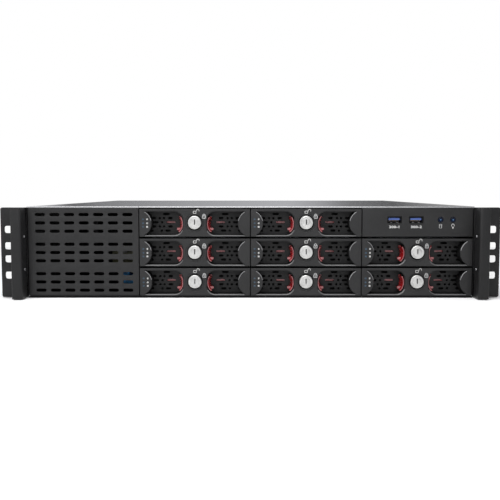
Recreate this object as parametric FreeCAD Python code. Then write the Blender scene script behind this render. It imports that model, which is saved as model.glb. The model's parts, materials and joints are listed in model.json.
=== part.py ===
import FreeCAD, Part
import math
import os

# A 2U, 19-inch rack network storage unit with eight drive trays.
# Millimetres. X runs to the right, Y to the back, Z up. While modelling, Y = 0 is the front plane of the
# ears and tray fronts and Z = 0 the underside; the last step shifts Y so that the origin is the middle of
# the underside.

# ---- driving dimensions -----------------------------------------------------------------------------
rack_width = 482.6            # over both ears
chassis_depth = 491.0         # ear front plane to rear face
columns = 4                   # bay columns side by side
rows = 3                      # bays on top of each other

sheet = 1.0                   # side walls, ear legs and cover flanges
floor_sheet = 1.2
cover_sheet = 1.2
cage_wall = 1.05              # upright cage walls
cage_shelf = 0.8
cover_gap = 0.1               # cage roof to cover
butt_gap = 0.15               # loose butt joint between sheets

drive_width = 101.6           # 3.5 inch drive
drive_height = 26.1
drive_length = 147.0
drive_side_clearance = 0.15
tray_rail = 2.0               # thickness of the side rails
tray_floor = 1.2
tray_side_gap = 0.4           # tray to cage wall
tray_end_gap = 0.3            # tray to shelf, above and below

front_width_gap = 0.7         # between neighbouring fronts
front_height = 26.9
front_lift = 0.25             # fronts sit this much above the middle of their bay
front_depth = 17.0
front_edge = 0.5              # chamfer round a front
cage_setback = 0.5            # front's back face to the cage
drive_setback = 5.0           # front's back face to the drive
rail_height = 20.0

recess_depth = 15.0           # finger recess
recess_in = 11.6              # inner end, from the middle of the front
recess_top = 10.8
recess_bottom = -11.9
recess_corner = 8.0
recess_bulge_centre = 54.7    # the outer end is an arc bulging into the recess
recess_bulge_radius = 13.0
recess_bulge_height = -0.5
recess_bevel = 1.3            # bevel along the lower rim

latch_travel = 2.5
latch_clearance = 0.35
latch_thickness = 2.0
latch_front = 4.0             # depth of the pad's front edge
latch_back = 12.0
latch_sweep = 40.0            # degrees that the pad follows each corner
latch_bar_height = 3.0
latch_bar_thickness = 2.0
latch_foot = 3.6
latch_end_gap = 0.4           # hook to cage wall

lock_height = 0.35            # lock above the middle of the front
lock_radius = 6.85
lock_ring = 0.65              # open ring round the lock
lock_proud = 2.0
lock_head_depth = 4.0
lock_barrel_radius = 5.0
running_clearance = 0.05      # shafts in their bores
cam_length = 8.0
cam_width = 4.0
cam_thickness = 1.5
cam_gap = 0.3

ear_height = 87.0
ear_sheet = 2.5
ear_ridge_width = 10.0
ear_ridge_reach = 16.0
ear_leg_length = 60.0
ear_slot_length = 11.0
ear_slot_width = 7.0
ear_slot_spacing_x = 465.1
ear_slot_rows = (6.35, 22.225)

vent_columns = 7
vent_pitch = 14.07
vent_slot_length = 9.5
vent_slot_height = 2.9
vent_row_pitch = 8.05
vent_rows_per_bay = 3
vent_shift = 0.65
panel_sheet = 2.0

usb_spacing = 21.0
usb_width = 14.0
usb_height = 7.0
usb_depth = 14.0
usb_wall = 0.5
usb_tongue = 2.0
usb_seat_gap = 0.15
lens_radius = 2.35
lens_seat_gap = 0.05
lens_spacing = 12.0

board_sheet = 1.6
connector_length = 5.5
connector_gap = 0.4

fan_size = 80.0
fan_depth = 25.4
fan_y = 190.0
fan_wall = 1.6
fan_blades = 7
fan_tip_gap = 0.9
fan_hub_radius = 16.0
fan_motor_radius = 14.5
fan_shaft_radius = 1.5
strut_fit = 0.1
fan_strut = 3.0
fan_tab = 1.0

board_y = 232.0
board_height = 6.0
board_margin = 6.0
sink_width = 64.0
sink_depth = 62.0
sink_height = 34.0
sink_fins = 15
sink_fin = 1.0
chip_height = 3.0

supply_width = 100.0
supply_length = 145.0
supply_height = 79.0
supply_margin = 3.0
inlet_width = 24.0
inlet_height = 16.5
inlet_depth = 17.0

port_width = 15.9
port_height = 13.4
port_depth = 21.0
port_spacing = 17.5
port_count = 4
port_gap = 0.2

button_radius = 4.5
button_travel = 1.2
button_proud = 1.3
button_x = 60.0
button_z = 26.0

screw_shank = 1.5
screw_head = 2.8
screw_head_height = 1.4
screw_hole_gap = 0.05

# ---- worked out -------------------------------------------------------------------------------------
column_pitch = (drive_width + 2 * drive_side_clearance + 2 * tray_rail + 2 * tray_side_gap + cage_wall)
row_clear = drive_height + tray_floor + 2 * tray_end_gap
row_pitch = row_clear + cage_shelf
inner_half = columns * column_pitch / 2 - cage_wall / 2
chassis_half = inner_half + sheet
leg_half = chassis_half + sheet
cage_top = floor_sheet + rows * row_pitch
cover_bottom = cage_top + cover_gap
chassis_height = cover_bottom + cover_sheet
cage_front = front_depth + cage_setback
drive_front = front_depth + drive_setback
drive_back = drive_front + drive_length
cage_back = drive_back + connector_gap + connector_length
front_half = (column_pitch - front_width_gap) / 2
rail_out = column_pitch / 2 - cage_wall / 2 - tray_side_gap
rail_in = rail_out - tray_rail
ear_bottom = (chassis_height - ear_height) / 2 - 0.1
ear_middle = ear_bottom + ear_height / 2
panel_inner = chassis_depth - floor_sheet
board_top = floor_sheet + board_height + board_sheet
whole_shift = -(chassis_depth + screw_head_height - ear_ridge_reach) / 2


def column_x(column):
    return (column - (columns - 1) / 2) * column_pitch


def bay_low(row):
    return floor_sheet + row * row_pitch


def front_z(row):
    return bay_low(row) + row_clear / 2 + front_lift


# ---- helpers ----------------------------------------------------------------------------------------
def box(x0, x1, y0, y1, z0, z1):
    return Part.makeBox(x1 - x0, y1 - y0, z1 - z0, FreeCAD.Vector(x0, y0, z0))


def rod(x, z, y0, y1, radius):
    return Part.makeCylinder(radius, y1 - y0, FreeCAD.Vector(x, y0, z), FreeCAD.Vector(0, 1, 0))


def side_rod(x0, x1, y, z, radius):
    return Part.makeCylinder(radius, x1 - x0, FreeCAD.Vector(x0, y, z), FreeCAD.Vector(1, 0, 0))


def post(x, y, z0, z1, radius):
    return Part.makeCylinder(radius, z1 - z0, FreeCAD.Vector(x, y, z0))


def moved(shape, x=0, y=0, z=0):
    copy = shape.copy()
    copy.translate(FreeCAD.Vector(x, y, z))
    return copy


def joined(shapes):
    first, *rest = shapes
    return first.multiFuse(rest).removeSplitter() if rest else first


def less(shape, cutters):
    return shape.cut(Part.makeCompound(cutters))


def slot(x, z, y0, y1, length, height):
    """Round-ended slot along X, cut along Y."""
    half = max(length - height, 0.02) / 2
    radius = height / 2
    middle = box(x - half, x + half, y0, y1, z - radius, z + radius)
    return middle.multiFuse([rod(x - half, z, y0, y1, radius), rod(x + half, z, y0, y1, radius)])


def ring_face(edges, y0, y1):
    """Solid between y0 and y1 of a closed outline drawn in the XZ plane."""
    face = Part.Face(Part.Wire(edges))
    solid = face.extrude(FreeCAD.Vector(0, y1 - y0, 0))
    return moved(solid, y=y0)


def point(x, z):
    return FreeCAD.Vector(x, 0, z)


def arc(start, middle, end):
    return Part.Arc(start, middle, end).toShape()


def line(start, end):
    return Part.LineSegment(start, end).toShape()


# ---- the tray's front -------------------------------------------------------------------------------
def recess_outline(grow=0.0):
    """Edges of one finger recess (the right one), grown outwards by grow."""
    inner = recess_in - grow
    top = recess_top + grow
    bottom = recess_bottom - grow
    corner = recess_corner + grow
    bulge = recess_bulge_radius - grow
    turn_x = inner + corner
    top_x = recess_bulge_centre - math.sqrt(bulge ** 2 - (top - recess_bulge_height) ** 2)
    low_x = recess_bulge_centre - math.sqrt(bulge ** 2 - (bottom - recess_bulge_height) ** 2)
    diagonal = corner * (1 - math.sqrt(0.5))
    tip = point(recess_bulge_centre - bulge, recess_bulge_height)
    return [
        line(point(turn_x, top), point(top_x, top)),
        arc(point(top_x, top), tip, point(low_x, bottom)),
        line(point(low_x, bottom), point(turn_x, bottom)),
        arc(point(turn_x, bottom), point(inner + diagonal, bottom + diagonal), point(inner, bottom + corner)),
        line(point(inner, bottom + corner), point(inner, top - corner)),
        arc(point(inner, top - corner), point(inner + diagonal, top - diagonal), point(turn_x, top)),
    ]


def rim_outline(grow):
    """Lower half of the recess outline as a closed wire, grown downwards and inwards by grow."""
    inner = recess_in - grow
    bottom = recess_bottom - grow
    corner = recess_corner + grow
    mid = recess_bottom + recess_corner
    outer = recess_bulge_centre - recess_corner
    diagonal = corner * (1 - math.sqrt(0.5))
    return Part.Wire([
        line(point(outer, mid), point(outer, bottom)),
        line(point(outer, bottom), point(inner + corner, bottom)),
        arc(point(inner + corner, bottom), point(inner + diagonal, bottom + diagonal), point(inner, mid)),
        line(point(inner, mid), point(outer, mid)),
    ])


def rim_bevel():
    """Wedge that bevels the lower rim of the right recess, kept off its bulging end."""
    near = rim_outline(recess_bevel)
    near.translate(FreeCAD.Vector(0, -0.01, 0))
    far = rim_outline(0.0)
    far.translate(FreeCAD.Vector(0, recess_bevel, 0))
    wedge = Part.makeLoft([near, far], True)
    low = recess_bottom - recess_bevel - 1
    keep = box(0, recess_bulge_centre, -1, recess_bevel + 1, low, recess_bottom + recess_corner * 0.7)
    end = rod(recess_bulge_centre, recess_bulge_height, -2, recess_bevel + 2, recess_bulge_radius)
    return wedge.common(keep).cut(end)


def grille_slots():
    """Through slots in the floor of the right recess: dashes, dots and the latch bar's window."""
    y0 = recess_depth - 1
    y1 = front_depth + 1
    row = 4.0
    dash = 4.6
    dot = 1.8
    height = 1.7
    window = 9.0
    places = []
    for side in (row, -row):
        places += [(21.5, side, dash), (28.0, side, dash), (33.5, side, dot), (38.5, side, dash)]
    places += [(31.0, 0.0, dot), (36.0, 0.0, dash), (28.0, -2 * row, dash), (28.0, 2 * row, dash)]
    slots = [slot(x, z, y0, y1, length, height) for x, z, length in places]
    slots.append(slot(recess_in + 3.4 + window / 2, 0, y0, y1, window, height))
    return slots


def latch_pocket():
    """Pocket in the right side of the middle bridge that the latch pad moves into."""
    reach = latch_travel + latch_clearance
    low = recess_bottom + recess_corner - 5.6
    high = recess_top - recess_corner + 5.6
    pocket = box(recess_in - reach + latch_clearance, recess_in + 2.6, latch_front - latch_clearance,
                 latch_back + latch_clearance, low, high)
    web = box(recess_in + latch_clearance - latch_travel - latch_clearance,
              recess_in + latch_clearance * 2 + latch_thickness, latch_back, front_depth + 1,
              -latch_bar_height / 2 - latch_clearance, latch_bar_height / 2 + latch_clearance)
    return [pocket, web]


def mirrored(shape):
    return shape.mirror(FreeCAD.Vector(0, 0, 0), FreeCAD.Vector(1, 0, 0))


def make_tray():
    """One-piece moulded tray: front, side rails with drive pins, floor with an open middle."""
    half_height = front_height / 2
    front = box(-front_half, front_half, 0, front_depth, -half_height, half_height)
    rim = [edge for edge in front.Edges if edge.BoundBox.YMax < 0.01]
    front = front.makeChamfer(front_edge, rim)
    cuts = [ring_face(recess_outline(), -1, recess_depth), rim_bevel()] + grille_slots() + latch_pocket()
    cuts += [mirrored(shape) for shape in cuts]
    cuts.append(rod(0, lock_height, -1, lock_head_depth + 0.4, lock_radius + lock_ring))
    cuts.append(rod(0, lock_height, 0, front_depth + 1, lock_barrel_radius + running_clearance))
    front = less(front, cuts)

    floor_z = -row_clear / 2 - front_lift + tray_end_gap
    back = drive_back - 2.0
    rails = []
    for side in (-1, 1):
        x0, x1 = sorted((side * rail_in, side * rail_out))
        rail = box(x0, x1, front_depth, back, floor_z, floor_z + rail_height)
        window = box(x0 - 1, x1 + 1, front_depth, front_depth + latch_bar_thickness + 1.0,
                     -latch_bar_height / 2 - latch_clearance, latch_bar_height / 2 + latch_clearance)
        rails.append(rail.cut(window))
        for y in drive_hole_places():
            pin = side_rod(rail_in - 1.5, rail_in + 0.5, y, floor_z + tray_floor + drive_hole_height(), 1.3)
            rails.append(pin if side > 0 else mirrored(pin))
    floor = box(-rail_out, rail_out, front_depth, back, floor_z, floor_z + tray_floor)
    bars = 3
    open_width = rail_in - 9.0
    span = (drive_length - 10.0) / (bars + 1)
    holes = []
    for index in range(bars + 1):
        y0 = drive_front + 4.0 + index * span
        holes.append(box(-open_width, open_width, y0, y0 + span - 8.0, floor_z - 1, floor_z + tray_floor + 1))
    return joined([front, less(floor, holes)] + rails)


def drive_hole_places():
    return (drive_front + 28.5, drive_front + 130.0)


def drive_hole_height():
    return 6.35


def make_drive():
    """3.5 inch drive: casting with a stepped lid, side pin holes, underside pocket and connector."""
    floor_z = -row_clear / 2 - front_lift + tray_end_gap + tray_floor
    half = drive_width / 2
    body = box(-half, half, drive_front, drive_back, floor_z, floor_z + drive_height - 1.2)
    upright = [edge for edge in body.Edges if edge.BoundBox.ZLength > drive_height / 2]
    body = body.makeFillet(3.0, upright)
    lid = box(-half + 2.5, half - 2.5, drive_front + 2.5, drive_back - 14.0,
              floor_z + drive_height - 1.3, floor_z + drive_height)
    lid_edges = [edge for edge in lid.Edges if edge.BoundBox.ZLength > 1.0]
    lid = lid.makeFillet(6.0, lid_edges)
    spindle = post(8.0, drive_front + 60.0, floor_z + drive_height - 0.8, floor_z + drive_height + 1, 12.0)
    body = joined([body, lid.cut(spindle)])
    cuts = [box(-half + 6, half - 6, drive_front + 6, drive_back - 40, floor_z - 1, floor_z + 2.5)]
    cuts.append(box(-half + 12, half - 30, drive_back - 4.0, drive_back + 1, floor_z - 1, floor_z + 4.0))
    for y in drive_hole_places():
        cuts.append(side_rod(half - 4.0, half + 1, y, floor_z + drive_hole_height(), 1.6))
        cuts.append(side_rod(-half - 1, -half + 4.0, y, floor_z + drive_hole_height(), 1.6))
    return less(body, cuts)


def make_latch():
    """Right-hand pinch latch: curved pad, foot, web through the front's back wall, bar and hook."""
    outer = recess_corner - latch_clearance
    inner = outer - latch_thickness
    turn_x = recess_in + recess_corner
    high = recess_top - recess_corner
    low = recess_bottom + recess_corner
    sweep = math.radians(latch_sweep)
    half_sweep = sweep / 2

    def on(radius, angle, height, sign):
        return point(turn_x - radius * math.cos(angle), height + sign * radius * math.sin(angle))

    outline = [
        arc(on(outer, sweep, high, 1), on(outer, half_sweep, high, 1), on(outer, 0, high, 1)),
        line(on(outer, 0, high, 1), on(outer, 0, low, 1)),
        arc(on(outer, 0, low, -1), on(outer, half_sweep, low, -1), on(outer, sweep, low, -1)),
        line(on(outer, sweep, low, -1), on(inner, sweep, low, -1)),
        arc(on(inner, sweep, low, -1), on(inner, half_sweep, low, -1), on(inner, 0, low, -1)),
        line(on(inner, 0, low, -1), on(inner, 0, high, 1)),
        arc(on(inner, 0, high, 1), on(inner, half_sweep, high, 1), on(inner, sweep, high, 1)),
        line(on(inner, sweep, high, 1), on(outer, sweep, high, 1)),
    ]
    pad = ring_face(outline, latch_front, latch_back)
    face = turn_x - inner
    foot_z = low - 2.2
    foot = box(face - 0.4, face + latch_foot, latch_front + 4.0, latch_back, foot_z - 1.0, foot_z + 1.0)
    top_foot = box(face - 0.4, face + latch_foot * 0.6, latch_front + 4.0, latch_back, high + 2.4, high + 4.0)
    web_x = turn_x - outer
    half_bar = latch_bar_height / 2
    web = box(web_x, web_x + latch_thickness, latch_back - 0.5, front_depth + cam_gap + latch_bar_thickness,
              -half_bar, half_bar)
    hook_x = rail_out + tray_side_gap - latch_end_gap
    bar = box(web_x, hook_x, front_depth + cam_gap, front_depth + cam_gap + latch_bar_thickness,
              -half_bar, half_bar)
    return joined([pad, foot, top_foot, web, bar])


def make_lock():
    """Key lock: bevelled head with a keyway, barrel and a short cam behind the front."""
    head = Part.makeCone(lock_radius - 1.0, lock_radius, 1.0, FreeCAD.Vector(0, -lock_proud, lock_height),
                         FreeCAD.Vector(0, 1, 0))
    head = head.fuse(rod(0, lock_height, 1.0 - lock_proud, lock_head_depth, lock_radius))
    barrel = rod(0, lock_height, lock_head_depth - 0.5, front_depth + cam_gap + cam_thickness,
                 lock_barrel_radius)
    cam_y = front_depth + cam_gap
    cam = box(-cam_width / 2, cam_width / 2, cam_y, cam_y + cam_thickness, lock_height - cam_length,
              lock_height)
    key_dot = rod(0, lock_height + 2.6, -lock_proud - 1, 6.0, 1.0)
    key_slit = box(-0.45, 0.45, -lock_proud - 1, 6.0, lock_height - 2.4, lock_height + 2.6)
    return less(joined([head, barrel, cam]), [key_dot.fuse(key_slit)])


# ---- chassis ----------------------------------------------------------------------------------------
def ear_screw_places():
    first = cage_front + 12.5
    return [(y, z) for y in (first, ear_leg_length - 8.0) for z in (ear_middle - 27.0, ear_middle + 27.0)]


def flange_screw_places():
    first = ear_leg_length + 40.0
    last = chassis_depth - 35.0
    step = (last - first) / 2
    return [first + index * step for index in range(3)]


def flange_screw_z():
    return chassis_height - 6.0


def rear_screw_places():
    low = floor_sheet + 10.0
    high = cage_top - 5.0
    edge = inner_half - 6.0
    return [(-edge, high), (edge, high), (edge, low), (0.0, high)]


def supply_left():
    return -inner_half + supply_margin


def supply_screw_places():
    x0 = supply_left() + 6.0
    x1 = supply_left() + supply_width - 6.0
    z0 = floor_sheet + 6.0
    z1 = floor_sheet + supply_height - 6.0
    return [(x0, z0), (x0, z1), (x1, z0), (x1, z1)]


def fan_places():
    return [column_x(column) for column in range(1, columns)]


def board_x():
    left = supply_left() + supply_width + board_margin
    return left, inner_half - board_margin


def board_post_places():
    x0, x1 = board_x()
    y0 = board_y + 8.0
    y1 = panel_inner - 14.0
    return [(x, y) for x in (x0 + 8.0, (x0 + x1) / 2, x1 - 8.0) for y in (y0, y1)]


def make_chassis_base():
    """Pan of welded sheets: floor, vented side walls, board posts and the tabs that hold the fans."""
    floor = box(-chassis_half, chassis_half, cage_setback, chassis_depth, 0, floor_sheet)
    hole = screw_shank + screw_hole_gap
    walls = []
    for side in (-1, 1):
        x0, x1 = sorted((side * inner_half, side * chassis_half))
        cuts = [side_rod(x0 - 1, x1 + 1, y, z, hole) for y, z in ear_screw_places()]
        cuts += [side_rod(x0 - 1, x1 + 1, y, flange_screw_z(), hole) for y in flange_screw_places()]
        for index in range(8):
            y = fan_y + fan_depth + 45.0 + index * 9.0
            cuts.append(box(x0 - 1, x1 + 1, y, y + 4.0, cage_top * 0.35, cage_top * 0.7))
        walls.append(less(box(x0, x1, cage_front, chassis_depth, floor_sheet, cover_bottom), cuts))
    posts = [post(x, y, floor_sheet, floor_sheet + board_height, 3.0) for x, y in board_post_places()]
    tabs = []
    for x in fan_places():
        for y0 in (fan_y - fan_tab - butt_gap, fan_y + fan_depth + butt_gap):
            tabs.append(box(x - 22.0, x + 22.0, y0, y0 + fan_tab, floor_sheet, floor_sheet + 7.0))
    return Part.makeCompound([floor] + walls + posts + tabs)


def make_top_cover():
    """Cover with folded side flanges; small notches at the column joints of its front edge."""
    top = box(-leg_half, leg_half, 0, chassis_depth, cover_bottom, chassis_height)
    corners = [box(-leg_half - 1, -chassis_half, -1, ear_leg_length + butt_gap, cover_bottom - 1,
                   chassis_height + 1)]
    corners.append(mirrored(corners[0]))
    notch = 0.7
    for x in (-column_pitch, column_pitch):
        corners.append(box(x - notch / 2, x + notch / 2, -1, 1.0, cover_bottom - 1, chassis_height + 1))
    top = less(top, corners)
    flange_drop = 12.0
    flange = box(chassis_half, leg_half, ear_leg_length + butt_gap, chassis_depth,
                 chassis_height - flange_drop, chassis_height)
    cover = joined([top, flange, mirrored(flange)])
    outer = [edge for edge in cover.Edges
             if edge.BoundBox.YLength > chassis_depth * 0.7 and edge.BoundBox.ZMin > chassis_height - 0.01]
    cover = cover.makeFillet(sheet * 0.8, outer)
    hole = screw_shank + screw_hole_gap
    cuts = []
    for side in (-1, 1):
        x0, x1 = sorted((side * (chassis_half - 1), side * (leg_half + 1)))
        cuts += [side_rod(x0, x1, y, flange_screw_z(), hole) for y in flange_screw_places()]
    return less(cover, cuts)


def port_left():
    return board_x()[0] + 14.0


def port_places():
    first = port_left() + port_width / 2
    return [first + index * port_spacing for index in range(port_count)]


def make_rear_panel():
    """Rear plate between the side walls with its windows, exhaust slots and screw holes."""
    plate = box(-inner_half, inner_half, panel_inner, chassis_depth, floor_sheet, cover_bottom)
    y0 = panel_inner - 1
    y1 = chassis_depth + 1
    rim = 10.0
    cuts = [box(supply_left() + rim, supply_left() + supply_width - rim, y0, y1,
                floor_sheet + rim, floor_sheet + supply_height - rim)]
    for x in port_places():
        cuts.append(box(x - port_width / 2 - port_gap, x + port_width / 2 + port_gap, y0, y1,
                        board_top - port_gap, board_top + port_height + port_gap))
    cuts.append(rod(button_x, button_z, y0, y1, button_radius + port_gap))
    for x, z in rear_screw_places() + supply_screw_places():
        cuts.append(rod(x, z, y0, y1, screw_shank + screw_hole_gap))
    x0 = board_x()[0] + 12.0
    slot_length = 14.0
    slot_pitch = 18.0
    count = int((inner_half - 18.0 - x0) / slot_pitch)
    for index in range(count):
        for level in range(5):
            z = board_top + port_height + 16.0 + level * 7.0
            cuts.append(slot(x0 + slot_length / 2 + index * slot_pitch, z, y0, y1, slot_length, 3.5))
    return less(plate, cuts)


def make_drive_cage():
    """Egg-crate cage of welded uprights and shelves that guides the eight trays."""
    lefts = [(column - columns / 2) * column_pitch - cage_wall / 2 for column in range(1, columns)]
    uprights = [box(x, x + cage_wall, cage_front, cage_back, floor_sheet, cage_top) for x in lefts]
    shelves = []
    for left, right in zip(lefts, lefts[1:] + [inner_half]):
        for row in range(rows):
            z = bay_low(row) + row_clear
            shelves.append(box(left + cage_wall, right, cage_front, cage_back, z, z + cage_shelf))
    return Part.makeCompound(uprights + shelves)


def make_backplane():
    """Upright board behind the cage with one drive connector per tray and air windows above them."""
    left = -column_pitch
    board = box(left, inner_half - butt_gap, cage_back, cage_back + board_sheet, floor_sheet, cage_top)
    windows = []
    sockets = []
    for column, row in tray_places():
        x = column_x(column)
        floor_z = bay_low(row) + tray_end_gap + tray_floor
        sockets.append(box(x - drive_width / 2 + 14.0, x + drive_width / 2 - 32.0, cage_back - connector_length,
                           cage_back, floor_z + 0.4, floor_z + 3.6))
        for x0 in (x - 40.0, x + 6.0):
            windows.append(box(x0, x0 + 34.0, cage_back - 1, cage_back + board_sheet + 1,
                               floor_z + 10.0, floor_z + 20.0))
    return Part.makeCompound([less(board, windows)] + sockets)


def make_vent_panel():
    """Fixed slotted panel that fills the left column, with returns running back to the cage."""
    x = column_x(0)
    z0 = front_z(0) - front_height / 2
    z1 = cover_bottom - 0.2
    plate = box(x - front_half, x + front_half, 0, front_depth, z0, z1)
    hollow = box(x - front_half + panel_sheet, x + front_half - panel_sheet, panel_sheet, front_depth + 1,
                 z0 + panel_sheet, z1 - panel_sheet)
    rim = [edge for edge in plate.Edges if edge.BoundBox.YMax < 0.01]
    plate = plate.makeChamfer(front_edge, rim).cut(hollow)
    slots = []
    for row in range(rows):
        for level in range(vent_rows_per_bay):
            z = front_z(row) + (level - (vent_rows_per_bay - 1) / 2) * vent_row_pitch
            for index in range(vent_columns):
                slot_x = x + vent_shift + (index - (vent_columns - 1) / 2) * vent_pitch
                slots.append(slot(slot_x, z, -1, panel_sheet + 1, vent_slot_length, vent_slot_height))
    return less(plate, slots)


def usb_places():
    middle = column_x(columns - 1) - 12.0
    return [middle - usb_spacing / 2, middle + usb_spacing / 2]


def lens_places():
    middle = column_x(columns - 1) + 27.9
    return [middle - lens_spacing / 2, middle + lens_spacing / 2]


def control_z():
    return front_z(rows - 1) + 3.0


def make_control_panel():
    """Panel over the top right bay: two socket windows and two lens holes."""
    x = column_x(columns - 1)
    z0 = front_z(rows - 1) - front_height / 2
    z1 = cover_bottom - 0.2
    plate = box(x - front_half, x + front_half, 0, front_depth, z0, z1)
    rim = [edge for edge in plate.Edges if edge.BoundBox.YMax < 0.01]
    hollow = box(x - front_half + panel_sheet, x + front_half - panel_sheet, panel_sheet, front_depth + 1,
                 z0 + panel_sheet, z1 - panel_sheet)
    plate = plate.makeChamfer(front_edge, rim).cut(hollow)
    z = control_z()
    cuts = [box(usb_x - usb_width / 2, usb_x + usb_width / 2, -1, panel_sheet + 1,
                z - usb_height / 2, z + usb_height / 2) for usb_x in usb_places()]
    cuts += [rod(lens_x, z, -1, panel_sheet + 1, lens_radius + lens_seat_gap) for lens_x in lens_places()]
    return less(plate, cuts)


def make_usb_board():
    """Small board across the control panel that carries the two front sockets."""
    x = column_x(columns - 1)
    z = control_z()
    half_width = usb_width / 2 - usb_seat_gap
    half_height = usb_height / 2 - usb_seat_gap
    pieces = [box(x - front_half + panel_sheet + usb_seat_gap, x + front_half - panel_sheet - usb_seat_gap,
                  usb_depth, usb_depth + board_sheet, z - 8.0, z + 7.0)]
    for usb_x in usb_places():
        shell = box(usb_x - half_width, usb_x + half_width, 0.3, usb_depth, z - half_height, z + half_height)
        mouth = box(usb_x - half_width + usb_wall, usb_x + half_width - usb_wall, 0, usb_depth - 1.0,
                    z - half_height + usb_wall, z + half_height - usb_wall)
        tongue = box(usb_x - 5.6, usb_x + 5.6, 1.5, usb_depth, z + 0.3, z + 0.3 + usb_tongue)
        pieces += [shell.cut(mouth), tongue]
    return joined(pieces)


def make_indicator_lights():
    """Two round lenses with a collar behind the control panel and a stem to the board."""
    z = control_z()
    lenses = []
    for x in lens_places():
        lens = joined([rod(x, z, 0.2, panel_sheet, lens_radius), rod(x, z, panel_sheet, 4.0, lens_radius + 1.0),
                       rod(x, z, 3.5, usb_depth, 1.5)])
        lenses.append(lens)
    return Part.makeCompound(lenses)


def make_ear():
    """Right ear: slotted flange, forward ridge and the leg screwed to the side wall."""
    z0 = ear_bottom
    z1 = ear_bottom + ear_height
    outer = rack_width / 2
    flange = box(leg_half - sheet, outer, 0, ear_sheet, z0, z1)
    tips = [edge for edge in flange.Edges if edge.BoundBox.XMin > outer - 0.01 and edge.BoundBox.YLength > 1]
    flange = flange.makeFillet(2.0, tips)
    ridge = box(leg_half, leg_half + ear_ridge_width, -ear_ridge_reach, 0.5, z0, z1)
    nose = [edge for edge in ridge.Edges
            if edge.BoundBox.YMax < 0.01 - ear_ridge_reach and edge.BoundBox.ZLength > 1]
    ridge = ridge.makeFillet(1.6, nose)
    leg = box(chassis_half, leg_half, 0, ear_leg_length, z0 + 1.0, cover_bottom - 0.1)
    ear = joined([flange, ridge, leg])
    cuts = []
    for offset in ear_slot_rows:
        for side in (-1, 1):
            cuts.append(slot(ear_slot_spacing_x / 2, ear_middle + side * offset, -1, ear_sheet + 1,
                             ear_slot_length, ear_slot_width))
    hole = screw_shank + screw_hole_gap
    cuts += [side_rod(chassis_half - 1, leg_half + 1, y, z, hole) for y, z in ear_screw_places()]
    return less(ear, cuts)


def make_screws():
    """Identical pan-head screws: ears, cover flanges, rear panel and power supply."""
    shank_length = 2 * sheet
    side_screw = joined([side_rod(leg_half, leg_half + screw_head_height, 0, 0, screw_head),
                         side_rod(leg_half - shank_length, leg_half + 0.2, 0, 0, screw_shank)])
    round_edge = [edge for edge in side_screw.Edges if edge.BoundBox.XMin > leg_half + screw_head_height - 0.01]
    side_screw = side_screw.makeFillet(0.6, round_edge[:1])
    back_screw = side_screw.copy()
    back_screw.rotate(FreeCAD.Vector(0, 0, 0), FreeCAD.Vector(0, 0, 1), 90)
    back_screw.translate(FreeCAD.Vector(0, chassis_depth - leg_half, 0))
    screws = []
    places = ear_screw_places() + [(y, flange_screw_z()) for y in flange_screw_places()]
    for y, z in places:
        right = moved(side_screw, y=y, z=z)
        screws += [right, mirrored(right)]
    screws += [moved(back_screw, x=x, z=z) for x, z in rear_screw_places() + supply_screw_places()]
    return Part.makeCompound(screws)


# ---- inside the rear --------------------------------------------------------------------------------
def make_network_socket(x):
    """Network socket with a stepped mouth that takes a plug and its latch."""
    body = box(x - port_width / 2, x + port_width / 2, chassis_depth - port_depth, chassis_depth,
               board_top, board_top + port_height)
    mouth = box(x - 5.9, x + 5.9, chassis_depth - 13.0, chassis_depth + 1,
                board_top + 3.4, board_top + port_height - 1.4)
    key = box(x - 2.6, x + 2.6, chassis_depth - 11.0, chassis_depth + 1, board_top + 1.4, board_top + 3.6)
    return less(body, [mouth, key])


def make_mainboard():
    """Board with the parts soldered or plugged on it, the network sockets at its rear edge among them."""
    x0, x1 = board_x()
    z0 = floor_sheet + board_height
    y1 = panel_inner - 2.0
    pieces = [box(x0, x1, board_y, y1, z0, board_top)]
    chip_x, chip_y = sink_place()
    pieces.append(box(chip_x - 20, chip_x + 20, chip_y - 20, chip_y + 20, board_top, board_top + chip_height))
    for index in range(2):
        y = chip_y + 52.0 + index * 12.0
        pieces.append(box(chip_x - 66, chip_x + 66, y, y + 6.5, board_top, board_top + 8.0))
        pieces.append(box(chip_x - 62, chip_x + 62, y + 2.5, y + 4.0, board_top + 8.0, board_top + 31.0))
    for index in range(3):
        y = board_y + 20.0 + index * 26.0
        pieces.append(box(x0 + 20, x0 + 34, y, y + 14.0, board_top, board_top + 1.6))
    for index in range(5):
        pieces.append(post(x1 - 24, board_y + 24.0 + index * 12.0, board_top, board_top + 12.0, 4.0))
    pieces.append(box(button_x - 8, button_x + 8, y1 - 12.0, y1 - 6.0, board_top, button_z + 6.0))
    return Part.makeCompound(pieces + [make_network_socket(x) for x in port_places()])


def sink_place():
    x0, x1 = board_x()
    return x0 + 0.55 * (x1 - x0), board_y + 70.0


def make_heat_sink():
    """Finned block on the processor."""
    x, y = sink_place()
    z = board_top + chip_height
    base = box(x - sink_width / 2, x + sink_width / 2, y - sink_depth / 2, y + sink_depth / 2, z, z + 5.0)
    step = (sink_width - sink_fin) / (sink_fins - 1)
    fins = [box(x - sink_width / 2 + index * step, x - sink_width / 2 + index * step + sink_fin,
                y - sink_depth / 2, y + sink_depth / 2, z + 4.0, z + sink_height) for index in range(sink_fins)]
    return joined([base] + fins)


def inlet_place():
    return supply_left() + supply_width * 0.27, floor_sheet + supply_height * 0.32


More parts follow.
